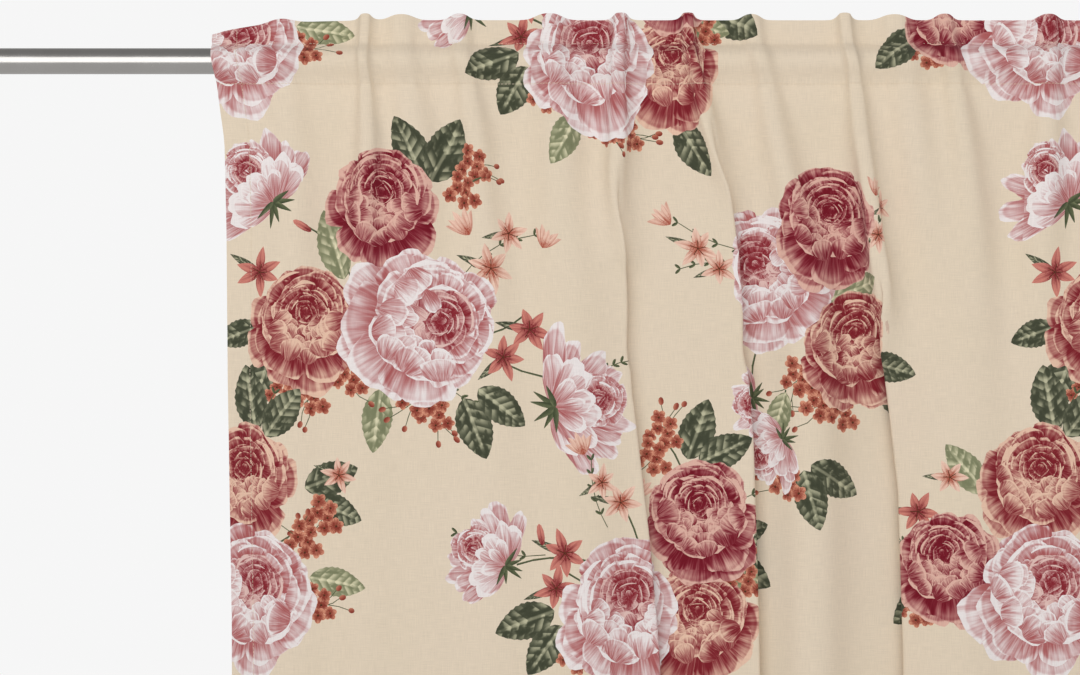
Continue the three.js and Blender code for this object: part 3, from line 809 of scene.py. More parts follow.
def hung_surfaces(drape, side):
    """The front layer and the pocket's back layer of one panel. side is -1 left and 1 right."""
    def build(line, depths, stand):
        rows = np.array([np.interp(depths, line[0], line[i]) for i in (1, 2)])
        front_depth = np.interp(rows[1], FRONT_LINE[2][::-1], FRONT_LINE[0][::-1])
        lower = np.clip(np.searchsorted(drape.depths, front_depth) - 1, 0, len(drape.depths) - 2)
        share = (front_depth - drape.depths[lower]) / (drape.depths[lower + 1] - drape.depths[lower])
        share = np.clip(share, 0, 1)[:, None]
        across = drape.across[lower] * (1 - share) + drape.across[lower + 1] * share
        forward = drape.forward[lower] * (1 - share) + drape.forward[lower + 1] * share
        held = smooth(-90, -30, rows[1])[:, None]
        resting = (forward + np.sqrt(forward**2 + 3.0)) / 2
        forward = forward * (1 - held) + resting * held
        deepest = FREE_FOLD_DEPTH - (FREE_FOLD_DEPTH - HELD_FOLD_DEPTH) * held
        forward = np.where(forward > 0, deepest * np.tanh(forward / deepest), forward)
        height = rows[1][:, None] + heading_edge(forward, drape.places, rows[1])
        pucker = seam_pucker(drape, rows[1]) + hem_relief(drape.places, rows[1])
        points = np.stack([
            side * (PANEL_OUTER - across),
            ROD_SIDE + rows[0][:, None] - forward * stand(rows[1])[:, None] + pucker,
            height,
        ], 2)
        if side > 0:
            points = points[:, ::-1]
        return Surface(depths, drape.places, points * MM)

    def lying_on(z):
        return np.ones_like(z)

    def over_rod(z):
        middle = np.clip(1 - np.abs((z + 3) / 22), 0, 1)
        return 1 - 1.5 * smooth(0, 0.5, middle)

    back_depths = np.linspace(0, BACK_DROP, 60)
    return build(FRONT_LINE, drape.depths, lying_on), build(BACK_LINE, back_depths, over_rod)


def heading_edge(forward, places, z):
    """How much the heading's top edge rises over its gathers and droops at the outer corner."""
    near_top = smooth(POCKET_TOP - 5, HEADING_TOP, z)[:, None]
    rise = 0.65 * np.clip(forward, 0, 14)
    return near_top * (rise - 16 * np.exp(-places / 50))


def seam_pucker(drape, z):
    """Small dimples along the two seams of the pocket."""
    total = 0
    for seam in (POCKET_TOP, POCKET_BOTTOM):
        near = np.exp(-(((z - seam) / 4.5) ** 2))[:, None]
        ripple = np.sin(drape.places / 2.3 + 3 * np.sin(drape.places / 31))
        ripple = ripple * np.sin(drape.places / 17 + seam)
        total = total + near * (0.9 + 0.5 * ripple)
    return total


def hem_relief(places, z):
    """The doubled hems stand a little towards the room, with a groove along their stitches."""
    from_side = np.minimum(places, FLAT_WIDTH - places)[None, :]
    from_bottom = (z - FRONT_LINE[2][-1])[:, None]
    wobble = 1 + 0.35 * np.sin(places / 2.9)[None, :] * np.sin(z / 3.7)[:, None]
    total = 0
    for distance, line, soft in ((from_side, SIDE_HEM - 3, 2.6), (from_bottom, BOTTOM_HEM - 3, 14.0)):
        raised = 1 - smooth(line - 1, line + 4, distance)
        groove = np.exp(-(((distance - line) / soft) ** 2))
        total = total - 0.45 * raised + 0.55 * groove * wobble
    return total


# Folds of the left panel, from its outer edge: (depth, distance) points, then the cloth each takes.
LEFT_FOLDS = [
    Fold([(0, 75), (400, 70)], (2, 4), wide=1.2),
    Fold([(0, 167), (300, 150), (2600, 160)], (13, 5), wide=0.85),
    Fold([(0, 205), (300, 215)], (5, 3), wide=1.2),
    Fold([(0, 268), (300, 285), (2600, 290)], (8, 4)),
    Fold([(0, 365), (300, 372)], (7, 3), wide=1.3),
    Fold([(0, 443), (174, 430), (411, 434), (573, 452), (708, 463), (2600, 480)], (15, 32), 1, 150),
    Fold([(0, 516), (44, 518), (195, 551), (465, 567), (708, 572), (2600, 580)], (17, 36), 1, 90),
    Fold([(0, 585), (300, 640)], (7, 4)),
    Fold([(0, 686), (195, 711), (357, 732), (519, 751), (708, 757), (2600, 770)], (16, 34), -1, 260),
    Fold([(0, 740), (300, 790)], (5, 3), wide=1.3),
    Fold([(0, 794), (300, 832), (2600, 830)], (9, 4)),
    Fold([(0, 907), (300, 900), (2600, 890)], (8, 5), wide=1.1),
    Fold([(0, 965), (300, 955)], (2, 3)),
]
RIGHT_FOLDS = [
    Fold([(0, 60), (400, 80)], (3, 4)),
    Fold([(0, 148), (300, 160), (2600, 150)], (9, 5), wide=1.1),
    Fold([(0, 226), (300, 215)], (7, 4)),
    Fold([(0, 302), (250, 330), (600, 345), (2600, 350)], (16, 34), 1, 130),
    Fold([(0, 371), (300, 400)], (8, 3), wide=1.2),
    Fold([(0, 452), (300, 470)], (9, 4)),
    Fold([(0, 533), (250, 566), (600, 580), (2600, 600)], (16, 34), -1, 110),
    Fold([(0, 604), (300, 650)], (8, 4), wide=0.9),
    Fold([(0, 690), (300, 720), (2600, 730)], (7, 4), wide=1.2),
    Fold([(0, 771), (250, 800), (600, 815), (2600, 820)], (15, 32), 1, 220),
    Fold([(0, 858), (300, 880)], (8, 4)),
    Fold([(0, 952), (300, 950)], (3, 3)),
]


# ---------------------------------------------------------------- cloth pieces


def split_long(flat, source, long):
    """Halves the marked edges. long says it for each triangle's edges 01, 12 and 20."""
    middle = (flat + np.roll(flat, -1, 1)) / 2
    pieces, sources = [], []
    for pattern in range(8):
        marks = np.array([pattern & 1, pattern >> 1 & 1, pattern >> 2 & 1], bool)
        chosen = (long == marks).all(1)
        tri, mid, kept = flat[chosen], middle[chosen], source[chosen]
        if not len(tri):
            continue
        a, b, c = tri[:, 0], tri[:, 1], tri[:, 2]
        ab, bc, ca = mid[:, 0], mid[:, 1], mid[:, 2]
        parts = {
            0: [(a, b, c)],
            1: [(a, ab, c), (ab, b, c)],
            2: [(a, b, bc), (a, bc, c)],
            4: [(a, b, ca), (b, c, ca)],
            3: [(ab, b, bc), (a, ab, bc), (a, bc, c)],
            6: [(bc, c, ca), (b, bc, ca), (a, b, ca)],
            5: [(a, ab, ca), (ab, b, c), (ab, c, ca)],
            7: [(a, ab, ca), (ab, b, bc), (bc, c, ca), (ab, bc, ca)],
        }[pattern]
        for part in parts:
            pieces.append(np.stack(part, 1))
            sources.append(kept)
    return np.concatenate(pieces), np.concatenate(sources)


def refined(flat, source, surface, mirror):
    """Halves the edges over which the hung cloth turns sharply."""
    for _ in range(2):
        u, t = mirror(flat.reshape(-1, 2))
        facing = surface.at(u, t)[1].reshape(-1, 3, 3)
        bend = (facing * np.roll(facing, -1, 1)).sum(2)
        length = np.linalg.norm(flat - np.roll(flat, -1, 1), axis=2)
        flat, source = split_long(flat, source, (bend < 0.955) & (length > 0.9))
    return flat, source


def cloth_mesh(name, surface, box, printed_depth, plain_depth, turn_back=None):
    """A piece of printed cloth over box = (left, right, top, bottom) of the flat cloth. Its printed
    side lies printed_depth behind the surface and its plain side plain_depth behind it. turn_back,
    (axis, line), says that the cloth is folded back there, so that its printed side faces behind."""
    def mirror(points):
        places = points.copy()
        if turn_back:
            axis, line = turn_back
            places[:, axis] = 2 * line - places[:, axis]
        return places[:, 0], places[:, 1]

    flat, shape, shift = pattern.over(*box)
    flat, source = refined(flat, np.arange(len(flat)), surface, mirror)
    shape, shift = shape[source], shift[source]
    place, kind, dark, light = pattern.described(flat, shape, shift)
    keys = np.round(flat.reshape(-1, 2) * 1000).astype(np.int64)
    keys = keys[:, 0] * 40_000_000 + keys[:, 1]
    _, first, number = np.unique(keys, return_index=True, return_inverse=True)
    corners = flat.reshape(-1, 2)[first]
    faces = number.reshape(-1, 3)
    sound = (faces[:, 0] != faces[:, 1]) & (faces[:, 1] != faces[:, 2]) & (faces[:, 2] != faces[:, 0])
    faces, place, kind, dark, light = faces[sound], place[sound], kind[sound], dark[sound], light[sound]
    u, t = mirror(corners)
    points, facing = surface.at(u, t)
    printed = points - facing * printed_depth * MM
    plain = points - facing * plain_depth * MM
    sign = -1.0 if turn_back else 1.0
    rim = border_edges(faces)
    count = len(corners)
    sides = np.concatenate([
        np.stack([rim[:, 1], rim[:, 0], rim[:, 0] + count], 1),
        np.stack([rim[:, 1], rim[:, 0] + count, rim[:, 1] + count], 1),
    ])
    all_faces = np.concatenate([faces, faces[:, ::-1] + count, sides])
    mesh = mesh_of(name, np.concatenate([printed, plain]), all_faces)
    many = len(faces)
    edge = np.zeros((len(sides), 3, 3))
    add_values(mesh, "print_place", "CORNER", np.concatenate([place, place[:, ::-1], edge]))
    add_values(mesh, "print_kind", "FACE", np.concatenate([kind, kind, edge[:, 0]]))
    add_values(mesh, "print_dark", "FACE", np.concatenate([dark, dark, edge[:, 0]]))
    add_values(mesh, "print_light", "FACE", np.concatenate([light, light, edge[:, 0]]))
    strength = np.concatenate([np.ones(many), np.full(many, 0.32), np.zeros(len(sides))])
    add_numbers(mesh, "print_strength", strength)
    flat_corner = np.concatenate([corners, corners])
    weave = np.concatenate([flat_corner, np.zeros((2 * count, 1))], 1) * MM
    add_values(mesh, "weave_place", "POINT", weave)
    lay_out(mesh, corners, faces, sides, box)
    normals = np.concatenate([facing[faces] * sign, -facing[faces[:, ::-1]] * sign, edge])
    flat_normals = normals.reshape(-1, 3)
    mesh.polygons.foreach_set("use_smooth", np.ones(len(mesh.polygons), bool))
    mesh.normals_split_custom_set(flat_normals)
    return mesh


def border_edges(faces):
    """The directed edges that only one triangle has."""
    pairs = np.concatenate([faces[:, [0, 1]], faces[:, [1, 2]], faces[:, [2, 0]]])
    key = pairs.min(1) * (faces.max() + 1) + pairs.max(1)
    _, first, count = np.unique(key, return_index=True, return_counts=True)
    return pairs[first[count == 1]]


def mesh_of(name, points, faces):
    mesh = bpy.data.meshes.new(name)
    mesh.vertices.add(len(points))
    mesh.vertices.foreach_set("co", points.astype(np.float32).ravel())
    mesh.loops.add(len(faces) * 3)
    mesh.loops.foreach_set("vertex_index", faces.astype(np.int32).ravel())
    mesh.polygons.add(len(faces))
    mesh.polygons.foreach_set("loop_start", np.arange(0, len(faces) * 3, 3, dtype=np.int32))
    mesh.update(calc_edges=True)
    return mesh


def add_values(mesh, name, domain, values):
    made = mesh.attributes.new(name, "FLOAT_VECTOR", domain)
    made.data.foreach_set("vector", values.astype(np.float32).ravel())


def add_numbers(mesh, name, values):
    mesh.attributes.new(name, "FLOAT", "FACE").data.foreach_set("value", values.astype(np.float32))


def lay_out(mesh, corners, faces, sides, box):
    """The printed side takes the upper four fifths of the map, the plain side the rest."""
    left, right, top, bottom = box
    share = (corners - [left, top]) / [right - left, bottom - top]
    upper = np.stack([0.002 + 0.996 * share[:, 0], 0.998 - 0.79 * share[:, 1]], 1)
    lower = np.stack([0.002 + 0.996 * share[:, 0], 0.198 - 0.19 * share[:, 1]], 1)
    side_places = upper[sides % len(corners)]
    places = np.concatenate([upper[faces], lower[faces[:, ::-1]], side_places])
    mesh.uv_layers.new(name="OFBake").data.foreach_set("uv", places.astype(np.float32).ravel())


def add_piece(name, mesh, material, body):
    mesh.materials.append(material)
    piece = bpy.data.objects.new(name, mesh)
    bpy.context.scene.collection.objects.link(piece)
    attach(piece, body)
    return piece


# ---------------------------------------------------------------- materials


class Term:
    """One value in a material's graph, with ordinary arithmetic."""

    def __init__(self, graph, socket):
        self.graph = graph
        self.socket = socket

    def __add__(self, other):
        return self.graph.math("ADD", self, other)

    __radd__ = __add__

    def __sub__(self, other):
        return self.graph.math("SUBTRACT", self, other)

    def __rsub__(self, other):
        return self.graph.math("SUBTRACT", other, self)

    def __mul__(self, other):
        return self.graph.math("MULTIPLY", self, other)

    __rmul__ = __mul__

    def __truediv__(self, other):
        return self.graph.math("DIVIDE", self, other)

    def __pow__(self, other):
        return self.graph.math("POWER", self, other)


class Graph:
    """A short way of writing a material's nodes."""

    def __init__(self, name, **settings):
        self.material = bpy.data.materials.new(name)
        self.material.use_nodes = True
        self.nodes = self.material.node_tree.nodes
        self.links = self.material.node_tree.links
        self.shader = next(node for node in self.nodes if node.type == "BSDF_PRINCIPLED")
        for socket, value in settings.items():
            self.set(socket.replace("_", " "), value)

    def set(self, socket, value):
        self.feed(self.shader.inputs[socket], value)

    def node(self, kind, feeds=(), **settings):
        made = self.nodes.new(kind)
        for name, value in settings.items():
            setattr(made, name, value)
        for slot, value in dict(feeds).items():
            self.feed(made.inputs[slot], value)
        return made

    def feed(self, socket, value):
        if isinstance(value, Term):
            self.links.new(value.socket, socket)
        else:
            socket.default_value = value

    def math(self, operation, *values):
        return Term(self, self.node("ShaderNodeMath", enumerate(values), operation=operation).outputs[0])

    def attribute(self, name, part="Fac"):
        return Term(self, self.node("ShaderNodeAttribute", attribute_name=name).outputs[part])

    def split(self, vector):
        return [Term(self, socket) for socket in self.node("ShaderNodeSeparateXYZ", {0: vector}).outputs]

    def vector(self, x, y, z=0.0):
        return Term(self, self.node("ShaderNodeCombineXYZ", enumerate((x, y, z))).outputs[0])

    def noise(self, vector, scale=1.0, detail=1.0, roughness=0.5):
        feeds = {"Vector": vector, "Scale": scale, "Detail": detail, "Roughness": roughness}
        return Term(self, self.node("ShaderNodeTexNoise", feeds).outputs[0])

    def smooth(self, low, high, value, start=0.0, end=1.0):
        feeds = {"Value": value, "From Min": low, "From Max": high, "To Min": start, "To Max": end}
        made = self.node("ShaderNodeMapRange", feeds, interpolation_type="SMOOTHSTEP", clamp=True)
        return Term(self, made.outputs[0])

    def mix(self, share, first, second):
        feeds = {0: share, 6: first, 7: second}
        return Term(self, self.node("ShaderNodeMix", feeds, data_type="RGBA", clamp_factor=True).outputs[2])

    def times(self, first, second):
        made = self.node("ShaderNodeVectorMath", {0: first, 1: second}, operation="MULTIPLY")
        return Term(self, made.outputs[0])

    def scaled(self, colour, factor):
        return self.times(colour, self.vector(factor, factor, factor))

    def is_kind(self, kind, wanted):
        return self.math("COMPARE", kind, float(wanted), 0.3)

    def bump(self, height, distance, strength=1.0):
        feeds = {"Height": height, "Distance": distance, "Strength": strength}
        self.set("Normal", Term(self, self.node("ShaderNodeBump", feeds).outputs[0]))

    def place(self):
        return Term(self, self.node("ShaderNodeTexCoord").outputs["Object"])


def colour(red, green, blue):
    return (*shown(red, green, blue), 1.0)


def printed(graph, ground):
    """The print's colour, from the values that the cloth's faces carry."""
    x, y, salt = graph.split(graph.attribute("print_place", "Vector"))
    kind, tone, depth = graph.split(graph.attribute("print_kind", "Vector"))
    dark = graph.attribute("print_dark", "Vector")
    light = graph.attribute("print_light", "Vector")
    side = graph.math("ABSOLUTE", y)

    # Petals are dark and streaked at the base, and light and crisp at the rim.
    spread = y / (0.35 + 0.65 * x)
    streaks = graph.noise(graph.vector(spread * 4.5, x * 1.1, salt), 1.0, 2.0)
    fine = graph.noise(graph.vector(spread * 13.0, x * 2.2, salt), 1.0)
    wash = graph.noise(graph.vector(x * 2.2, y * 1.3, salt + 7.0), 1.0)
    from_middle = graph.math("SQRT", (2 * x - 1) ** 2.0 + (y / (0.7 + 0.3 * x)) ** 2.0)
    outer = graph.smooth(0.35, 0.62, x)
    rim = graph.smooth(0.84, 0.95, from_middle) * outer
    groove = graph.smooth(0.66, 0.84, from_middle) * outer * (1 - rim)
    cup = graph.math("FRACT", salt * 3.7) - 0.5
    petal = graph.smooth(0.04 + depth * 0.40, 1.05, x) * (0.60 + 0.25 * depth) + tone - 0.15 - depth * 0.17
    petal = petal + (streaks - 0.5) * graph.smooth(0.0, 1.0, x, 1.5, 0.9) + cup * y * 0.45
    petal = petal + (fine - 0.5) * graph.smooth(0.2, 1.0, x, 1.3, 0.6)
    petal = petal + (wash - 0.5) * 0.5 + rim * graph.smooth(0.3, 0.7, streaks, 0.10, 0.42)
    petal = petal - groove * (0.08 + 0.12 * depth)

    # Leaves have a light midrib and rows of light strokes between dark side veins.
    rib = graph.smooth(0.14, 0.03, side) * graph.smooth(0.98, 0.7, x)
    comb = graph.math("FRACT", (x - side * 0.2) * 7.0 + 10.0)
    blotch = graph.noise(graph.vector(x * 5.0, y * 2.5, salt), 1.0, 2.0)
    strokes = graph.smooth(1.0, 0.15, comb) * graph.smooth(0.0, 0.12, comb) * graph.smooth(0.40, 0.56, blotch)
    blade = 0.14 + rib * 0.5 + strokes * 0.62 * graph.smooth(1.05, 0.45, side)
    blade = blade + (blotch - 0.5) * 0.5 + graph.smooth(0.7, 1.0, side) * 0.12

    # Berries and buds are round, and lilies have a dark throat and a spotted middle.
    berry = 0.38 + y * 0.35 + (0.5 - x) * 0.3
    stalk = 0.35 + y * 0.35 + (blotch - 0.5) * 0.6
    throat = graph.smooth(0.6, 0.05, x)
    spots = graph.smooth(0.56, 0.66, graph.noise(graph.vector(x * 12.0, y * 4.0, salt), 1.0, 0.0))
    lily = 0.95 - throat * 0.55 - graph.smooth(0.4, 0.0, side) * graph.smooth(1.0, 0.5, x) * 0.28
    lily = lily - spots * throat * 0.5 + (streaks - 0.5) * 0.8 - graph.smooth(0.6, 1.0, side) * 0.25

    share = 0.0
    for wanted, value in ((PETAL, petal), (LEAF, blade), (BERRY, berry), (STALK, stalk), (LILY, lily)):
        share = graph.is_kind(kind, wanted) * value + share
    root = graph.mix(graph.smooth(-0.12, 1.24, share), dark, light)
    strength = graph.math("GREATER_THAN", kind, 0.5) * graph.attribute("print_strength")
    return graph.mix(strength, ground, graph.times(root, root))


def cloth_material():
    """Linen-look cotton with a printed face: slubby threads both ways and a soft sheen."""
    graph = Graph("printed_cloth", Roughness=0.92, Specular_IOR_Level=0.18, Sheen_Weight=0.12,
                  Sheen_Roughness=0.5)
    u, t, _ = graph.split(graph.attribute("weave_place", "Vector"))
    weft = graph.noise(graph.vector(u * 60.0, t * 1500.0), 1.0, 2.0)
    warp = graph.noise(graph.vector(u * 1500.0, t * 60.0), 1.0, 2.0)
    cloud = graph.noise(graph.vector(u * 9.0, t * 6.0), 1.0, 2.0)
    threads = (weft + warp - 1.0) * 0.22 + (cloud - 0.5) * 0.06
    lighter, darker = colour(231, 214, 192), colour(224, 208, 184)
    ground = graph.mix(0.5 + (cloud - 0.5) * 1.4, lighter, darker)
    shade = graph.scaled(printed(graph, ground), 1.0 + threads)
    graph.set("Base Color", shade)
    graph.bump(weft + warp, 0.00025, 0.5)
    return graph.material


def thread_material():
    """Twisted cotton thread, a little paler than the cloth."""
    graph = Graph("sewing_thread", Roughness=0.6, Sheen_Weight=0.3, Sheen_Roughness=0.4)
    twist = graph.noise(graph.place(), 2500.0, 2.0)
    graph.set("Base Color", graph.mix(twist, colour(238, 222, 198), colour(208, 190, 163)))
    graph.bump(twist, 0.0001, 0.5)
    return graph.material


# ---------------------------------------------------------------- the two panels

LEAD_LINE = FLAT_WIDTH - SIDE_HEM


def draw_squash(piece, side):
    """Gives the piece its own copy of its mesh."""
    joint = "left_draw" if side < 0 else "right_draw"
    side * PANEL_OUTER * MM
    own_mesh(piece)


def hang_panel(side, folds, seed, cloth):
    """Every piece of one curtain, hung on the rod."""
    word = "left" if side < 0 else "right"
    front, back = hung_surfaces(Drape(folds, seed), side)

    def columns(start, end):
        """A stretch measured from the outer edge, as left and right in the flat cloth."""
        return (start, end) if side < 0 else (FLAT_WIDTH - end, FLAT_WIDTH - start)

    def sew(part, surface, across, down, depths, body, turn_back=None, squashed=True):
        box = (*across, *down)
        name = f"{word}_{part}"
        mesh = cloth_mesh(name, surface, box, *depths, turn_back)
        piece = add_piece(name, mesh, cloth, body)
        size = ((across[1] - across[0]) * MM, (down[1] - down[0]) * MM)
        ["outer_tube"] if down[0] < 50 else ()
        if squashed:
            draw_squash(piece, side)
        return piece

    outer_edge = 0.0 if side < 0 else FLAT_WIDTH
    lead_edge = FLAT_WIDTH - outer_edge
    edge_body = f"{word}_edge"
    for row in range(BLOCK_ROWS):
        down = (row * FLAT_DROP / BLOCK_ROWS, (row + 1) * FLAT_DROP / BLOCK_ROWS)
        for column in range(BLOCK_COLUMNS):
            stretch = (column * LEAD_LINE / BLOCK_COLUMNS, (column + 1) * LEAD_LINE / BLOCK_COLUMNS)
            sew(f"face_{row + 1}_{column + 1}", front, columns(*stretch), down, (0, CLOTH), "rod")
    sew("lead_face", front, columns(LEAD_LINE, FLAT_WIDTH), (0, FLAT_DROP), (0, CLOTH), edge_body,
        squashed=False)

    behind = (CLOTH + HEM_LAYER, CLOTH)
    hem_rows = (BACK_DROP, FLAT_DROP - BOTTOM_HEM)

    def turned(start, end, edge):
        """The same stretch as it lay in the flat cloth before it was folded over the edge."""
        first, last = columns(start, end)
        return (2 * edge - last, 2 * edge - first)

    sew("outer_hem_back", front, turned(0, SIDE_HEM, outer_edge), hem_rows, behind, "rod",
        (0, outer_edge))
    sew("lead_hem_back", front, turned(LEAD_LINE, FLAT_WIDTH, lead_edge), hem_rows, behind, edge_body,
        (0, lead_edge), False)
    hem_depth = (FLAT_DROP, FLAT_DROP + BOTTOM_HEM)
    pocket_depth = (-BACK_DROP, 0)
    main, lead = columns(0, LEAD_LINE), columns(LEAD_LINE, FLAT_WIDTH)
    sew("bottom_hem_back", front, main, hem_depth, behind, "rod", (1, FLAT_DROP))
    sew("lead_bottom_hem_back", front, lead, hem_depth, behind, edge_body, (1, FLAT_DROP), False)
    sew("pocket_back", back, main, pocket_depth, (CLOTH, 0), "rod", (1, 0.0))
    sew("lead_pocket_back", back, lead, pocket_depth, (CLOTH, 0), edge_body, (1, 0.0), False)

    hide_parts(*[f"{word}_{part}" for part in
                                    ("outer_pocket_end", "outer_hem", "drop", "heading", "pocket")])
    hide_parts(f"{word}_bottom_hem")
    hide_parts(f"{word}_leading_pocket_end", f"{word}_leading_hem")
    return front, back, columns


STITCH_PITCH = 4.0
STITCH_LENGTH = 2.9
THREAD_RADIUS = 0.26


def row_of_stitches(surface, start, end, level):
    """Short threads along a line of the cloth, level millimetres in front of its surface, or behind
    it if level is negative. Each is four rings of five points, with ends that dip into the cloth."""
    start, end = np.array(start, float), np.array(end, float)
    run = np.hypot(*(end - start))
    count = int(run / STITCH_PITCH)
    share = (np.arange(count)[:, None] + 0.5) / count
    sign = math.copysign(1, level)
    rings = []
    for reach, height in ((-0.5, -0.3), (-0.36, 0.1), (0.36, 0.1), (0.5, -0.3)):
        places = start + (end - start) * share + (end - start) / run * STITCH_LENGTH * reach
        point, facing = surface.at(places[:, 0], places[:, 1])
        rings.append((point + facing * (level + sign * height) * MM, facing))
    way = rings[2][0] - rings[1][0]
    way /= np.linalg.norm(way, axis=1)[:, None]
    points = []
    for point, facing in rings:
        beside = np.cross(way, facing)
        for angle in np.arange(5) * 2 * math.pi / 5:
            points.append(point + (facing * math.cos(angle) + beside * math.sin(angle)) * THREAD_RADIUS * MM)
    one = []
    for ring in range(3):
        for i in range(5):
            a, b = 5 * ring + i, 5 * ring + (i + 1) % 5
            one += [(a, b, b + 5), (a, b + 5, a + 5)]
    for first, order in ((0, 1), (15, -1)):
        one += [(first, *[first + i, first + i + 1][::-order]) for i in (1, 2, 3)]
    points = np.stack(points, 1)
    faces = np.array(one)[None] + 20 * np.arange(count)[:, None, None]
    return points.reshape(-1, 3), faces.reshape(-1, 3)


def depth_at(line, z):
    """How far down a layer's cloth the height z is."""
    return np.interp(-z, -line[2], line[0])


def stitch_panel(side, front, back, columns, thread):
    """The thread of the pocket's two seams and of the three hems, seen in front and behind."""
    word = "left" if side < 0 else "right"
    behind = -(CLOTH + HEM_LAYER)
    hem_line = FLAT_DROP - BOTTOM_HEM + 3
    side_line = SIDE_HEM - 3
    outer = columns(side_line, side_line)[0]
    lead = columns(FLAT_WIDTH - side_line, FLAT_WIDTH - side_line)[0]
    for name, body, stretch, upright in (
        ("seams", "rod", (3, LEAD_LINE - 1), outer),
        ("lead_seams", f"{word}_edge", (LEAD_LINE + 1, FLAT_WIDTH - 3), lead),
    ):
        left, right = columns(*stretch)
        rows = []
        for surface, line, level in ((front, FRONT_LINE, 0.05), (back, BACK_LINE, -CLOTH - 0.05)):
            for height in (POCKET_TOP, POCKET_BOTTOM):
                depth = depth_at(line, height)
                rows.append(row_of_stitches(surface, (left, depth), (right, depth), level))
        for level in (0.05, behind - 0.05):
            rows.append(row_of_stitches(front, (left, hem_line), (right, hem_line), level))
            top = 2.0 if level > 0 else BACK_DROP
            rows.append(row_of_stitches(front, (upright, top), (upright, hem_line), level))
        points = np.concatenate([row[0] for row in rows])
        first = np.cumsum([0] + [len(row[0]) for row in rows])
        faces = np.concatenate([row[1] + start for row, start in zip(rows, first)])
        mesh = mesh_of(f"{word}_{name}", points, faces)
        mesh.polygons.foreach_set("use_smooth", np.ones(len(mesh.polygons), bool))
        piece = add_piece(f"{word}_{name}", mesh, thread, body)
        if body == "rod":
            draw_squash(piece, side)


cloth = cloth_material()
thread = thread_material()
pattern = Pattern()
for side, folds, seed in ((-1, LEFT_FOLDS, 5), (1, RIGHT_FOLDS, 8)):
    stitch_panel(side, *hang_panel(side, folds, seed, cloth), thread)


# ---------------------------------------------------------------- metal and plastic pieces

ROD_RADIUS = 14.0
INNER_RADIUS = 11.6
TUBE_WALL = 1.0
ROD_END = 1400.0
OUTER_TUBE_MOUTH = 180.0
INNER_TUBE_START = -420.0
RUNNING_GAP = 0.5
ARM_RADIUS = 6.0
CRADLE_WALL = 4.0
CRADLE_WIDTH = 18.0
CRADLE_FOOT = 4.0
WALL_SCREW_PLACE = 19.0
GRUB_SCREW_SIDE = -20.0
KNOB_CLEARANCE = 3.4
KNOB_HEIGHT = 8.0
KNOB_BORE = 6.0
KNOB_TEETH = 16
# Each bracket's name, its place along the rod and the radius of the tube that it holds.
BRACKETS = (("left", -1350, ROD_RADIUS), ("centre", 0, ROD_RADIUS), ("right", 1350, INNER_RADIUS))
ROUND = 80
SHARP = math.radians(32)


def metal_material(name, tint, roughness, streak):
    """Plated metal: a faint drawn grain along the piece and small changes of gloss."""
    graph = Graph(name, Metallic=1.0)
    x, y, z = graph.split(graph.place())
    grain = graph.noise(graph.vector(x * 12.0, y * 900.0, z * 900.0), 1.0, 3.0)
    haze = graph.noise(graph.place(), 26.0, 3.0)
    marks = graph.smooth(0.62, 0.74, graph.noise(graph.place(), 240.0, 2.0))
    graph.set("Roughness", roughness + (haze - 0.5) * 0.10 + (grain - 0.5) * streak + marks * 0.05)
    low = colour(*[0.93 * part for part in tint])
    graph.set("Base Color", graph.mix(0.5 + (haze - 0.5) * 0.9, low, colour(*tint)))
    graph.bump(grain, 0.00003, 0.35)
    return graph.material


def plastic_material():
    """Moulded white plastic with a fine grain."""
    graph = Graph("moulded_plastic", Roughness=0.48, Specular_IOR_Level=0.45)
    grain = graph.noise(graph.place(), 900.0, 2.0)
    cloud = graph.noise(graph.place(), 60.0, 2.0)
    graph.set("Base Color", graph.mix(cloud, colour(232, 232, 228), colour(222, 221, 216)))
    graph.set("Roughness", 0.42 + (cloud - 0.5) * 0.14 + (grain - 0.5) * 0.1)
    graph.bump(grain, 0.00004, 0.4)
    return graph.material


def softened(outline, size, steps=3):
    """An outline of (radius, along) points with its inner corners rounded off."""
    points = [np.array(point, float) for point in outline]
    soft = [points[0]]
    for before, corner, after in zip(points[:-2], points[1:-1], points[2:]):
        back, on = before - corner, after - corner
        reach = min(size, 0.45 * np.hypot(*back), 0.45 * np.hypot(*on))
        start, end = corner + back / np.hypot(*back) * reach, corner + on / np.hypot(*on) * reach
        for share in np.linspace(0, 1, steps + 1):
            soft.append(start * (1 - share) ** 2 + corner * 2 * share * (1 - share) + end * share**2)
    return [*soft, points[-1]]


def turned(outline, centre, axis, count=ROUND):
    """A bmesh of a piece turned about axis, x, y or z, through centre. The outline starts and ends
    on the axis, or closes on itself."""
    first = "xyz".index(axis)
    order = [first, (first + 1) % 3, (first + 2) % 3]
    shape = bmesh.new()
    rings = []
    closed = np.allclose(outline[0], outline[-1])
    for radius, along in outline[:-1] if closed else outline:
        if radius < 1e-6:
            places = [(along, 0.0, 0.0)]
        else:
            places = [(along, radius * math.cos(a), radius * math.sin(a))
                      for a in np.arange(count) * 2 * math.pi / count]
        made = []
        for place in places:
            point = np.zeros(3)
            point[order] = place
            made.append(shape.verts.new((point + centre) * MM))
        rings.append(made)
    pairs = list(zip(rings, rings[1:] + rings[:1]))
    for lower, upper in pairs if closed else pairs[:-1]:
        for i in range(count):
            corners = [lower[i % len(lower)], lower[(i + 1) % len(lower)],
                       upper[(i + 1) % len(upper)], upper[i % len(upper)]]
            corners = list(dict.fromkeys(corners))
            if len(corners) > 2:
                shape.faces.new(corners)
    bmesh.ops.recalc_face_normals(shape, faces=shape.faces)
    return shape


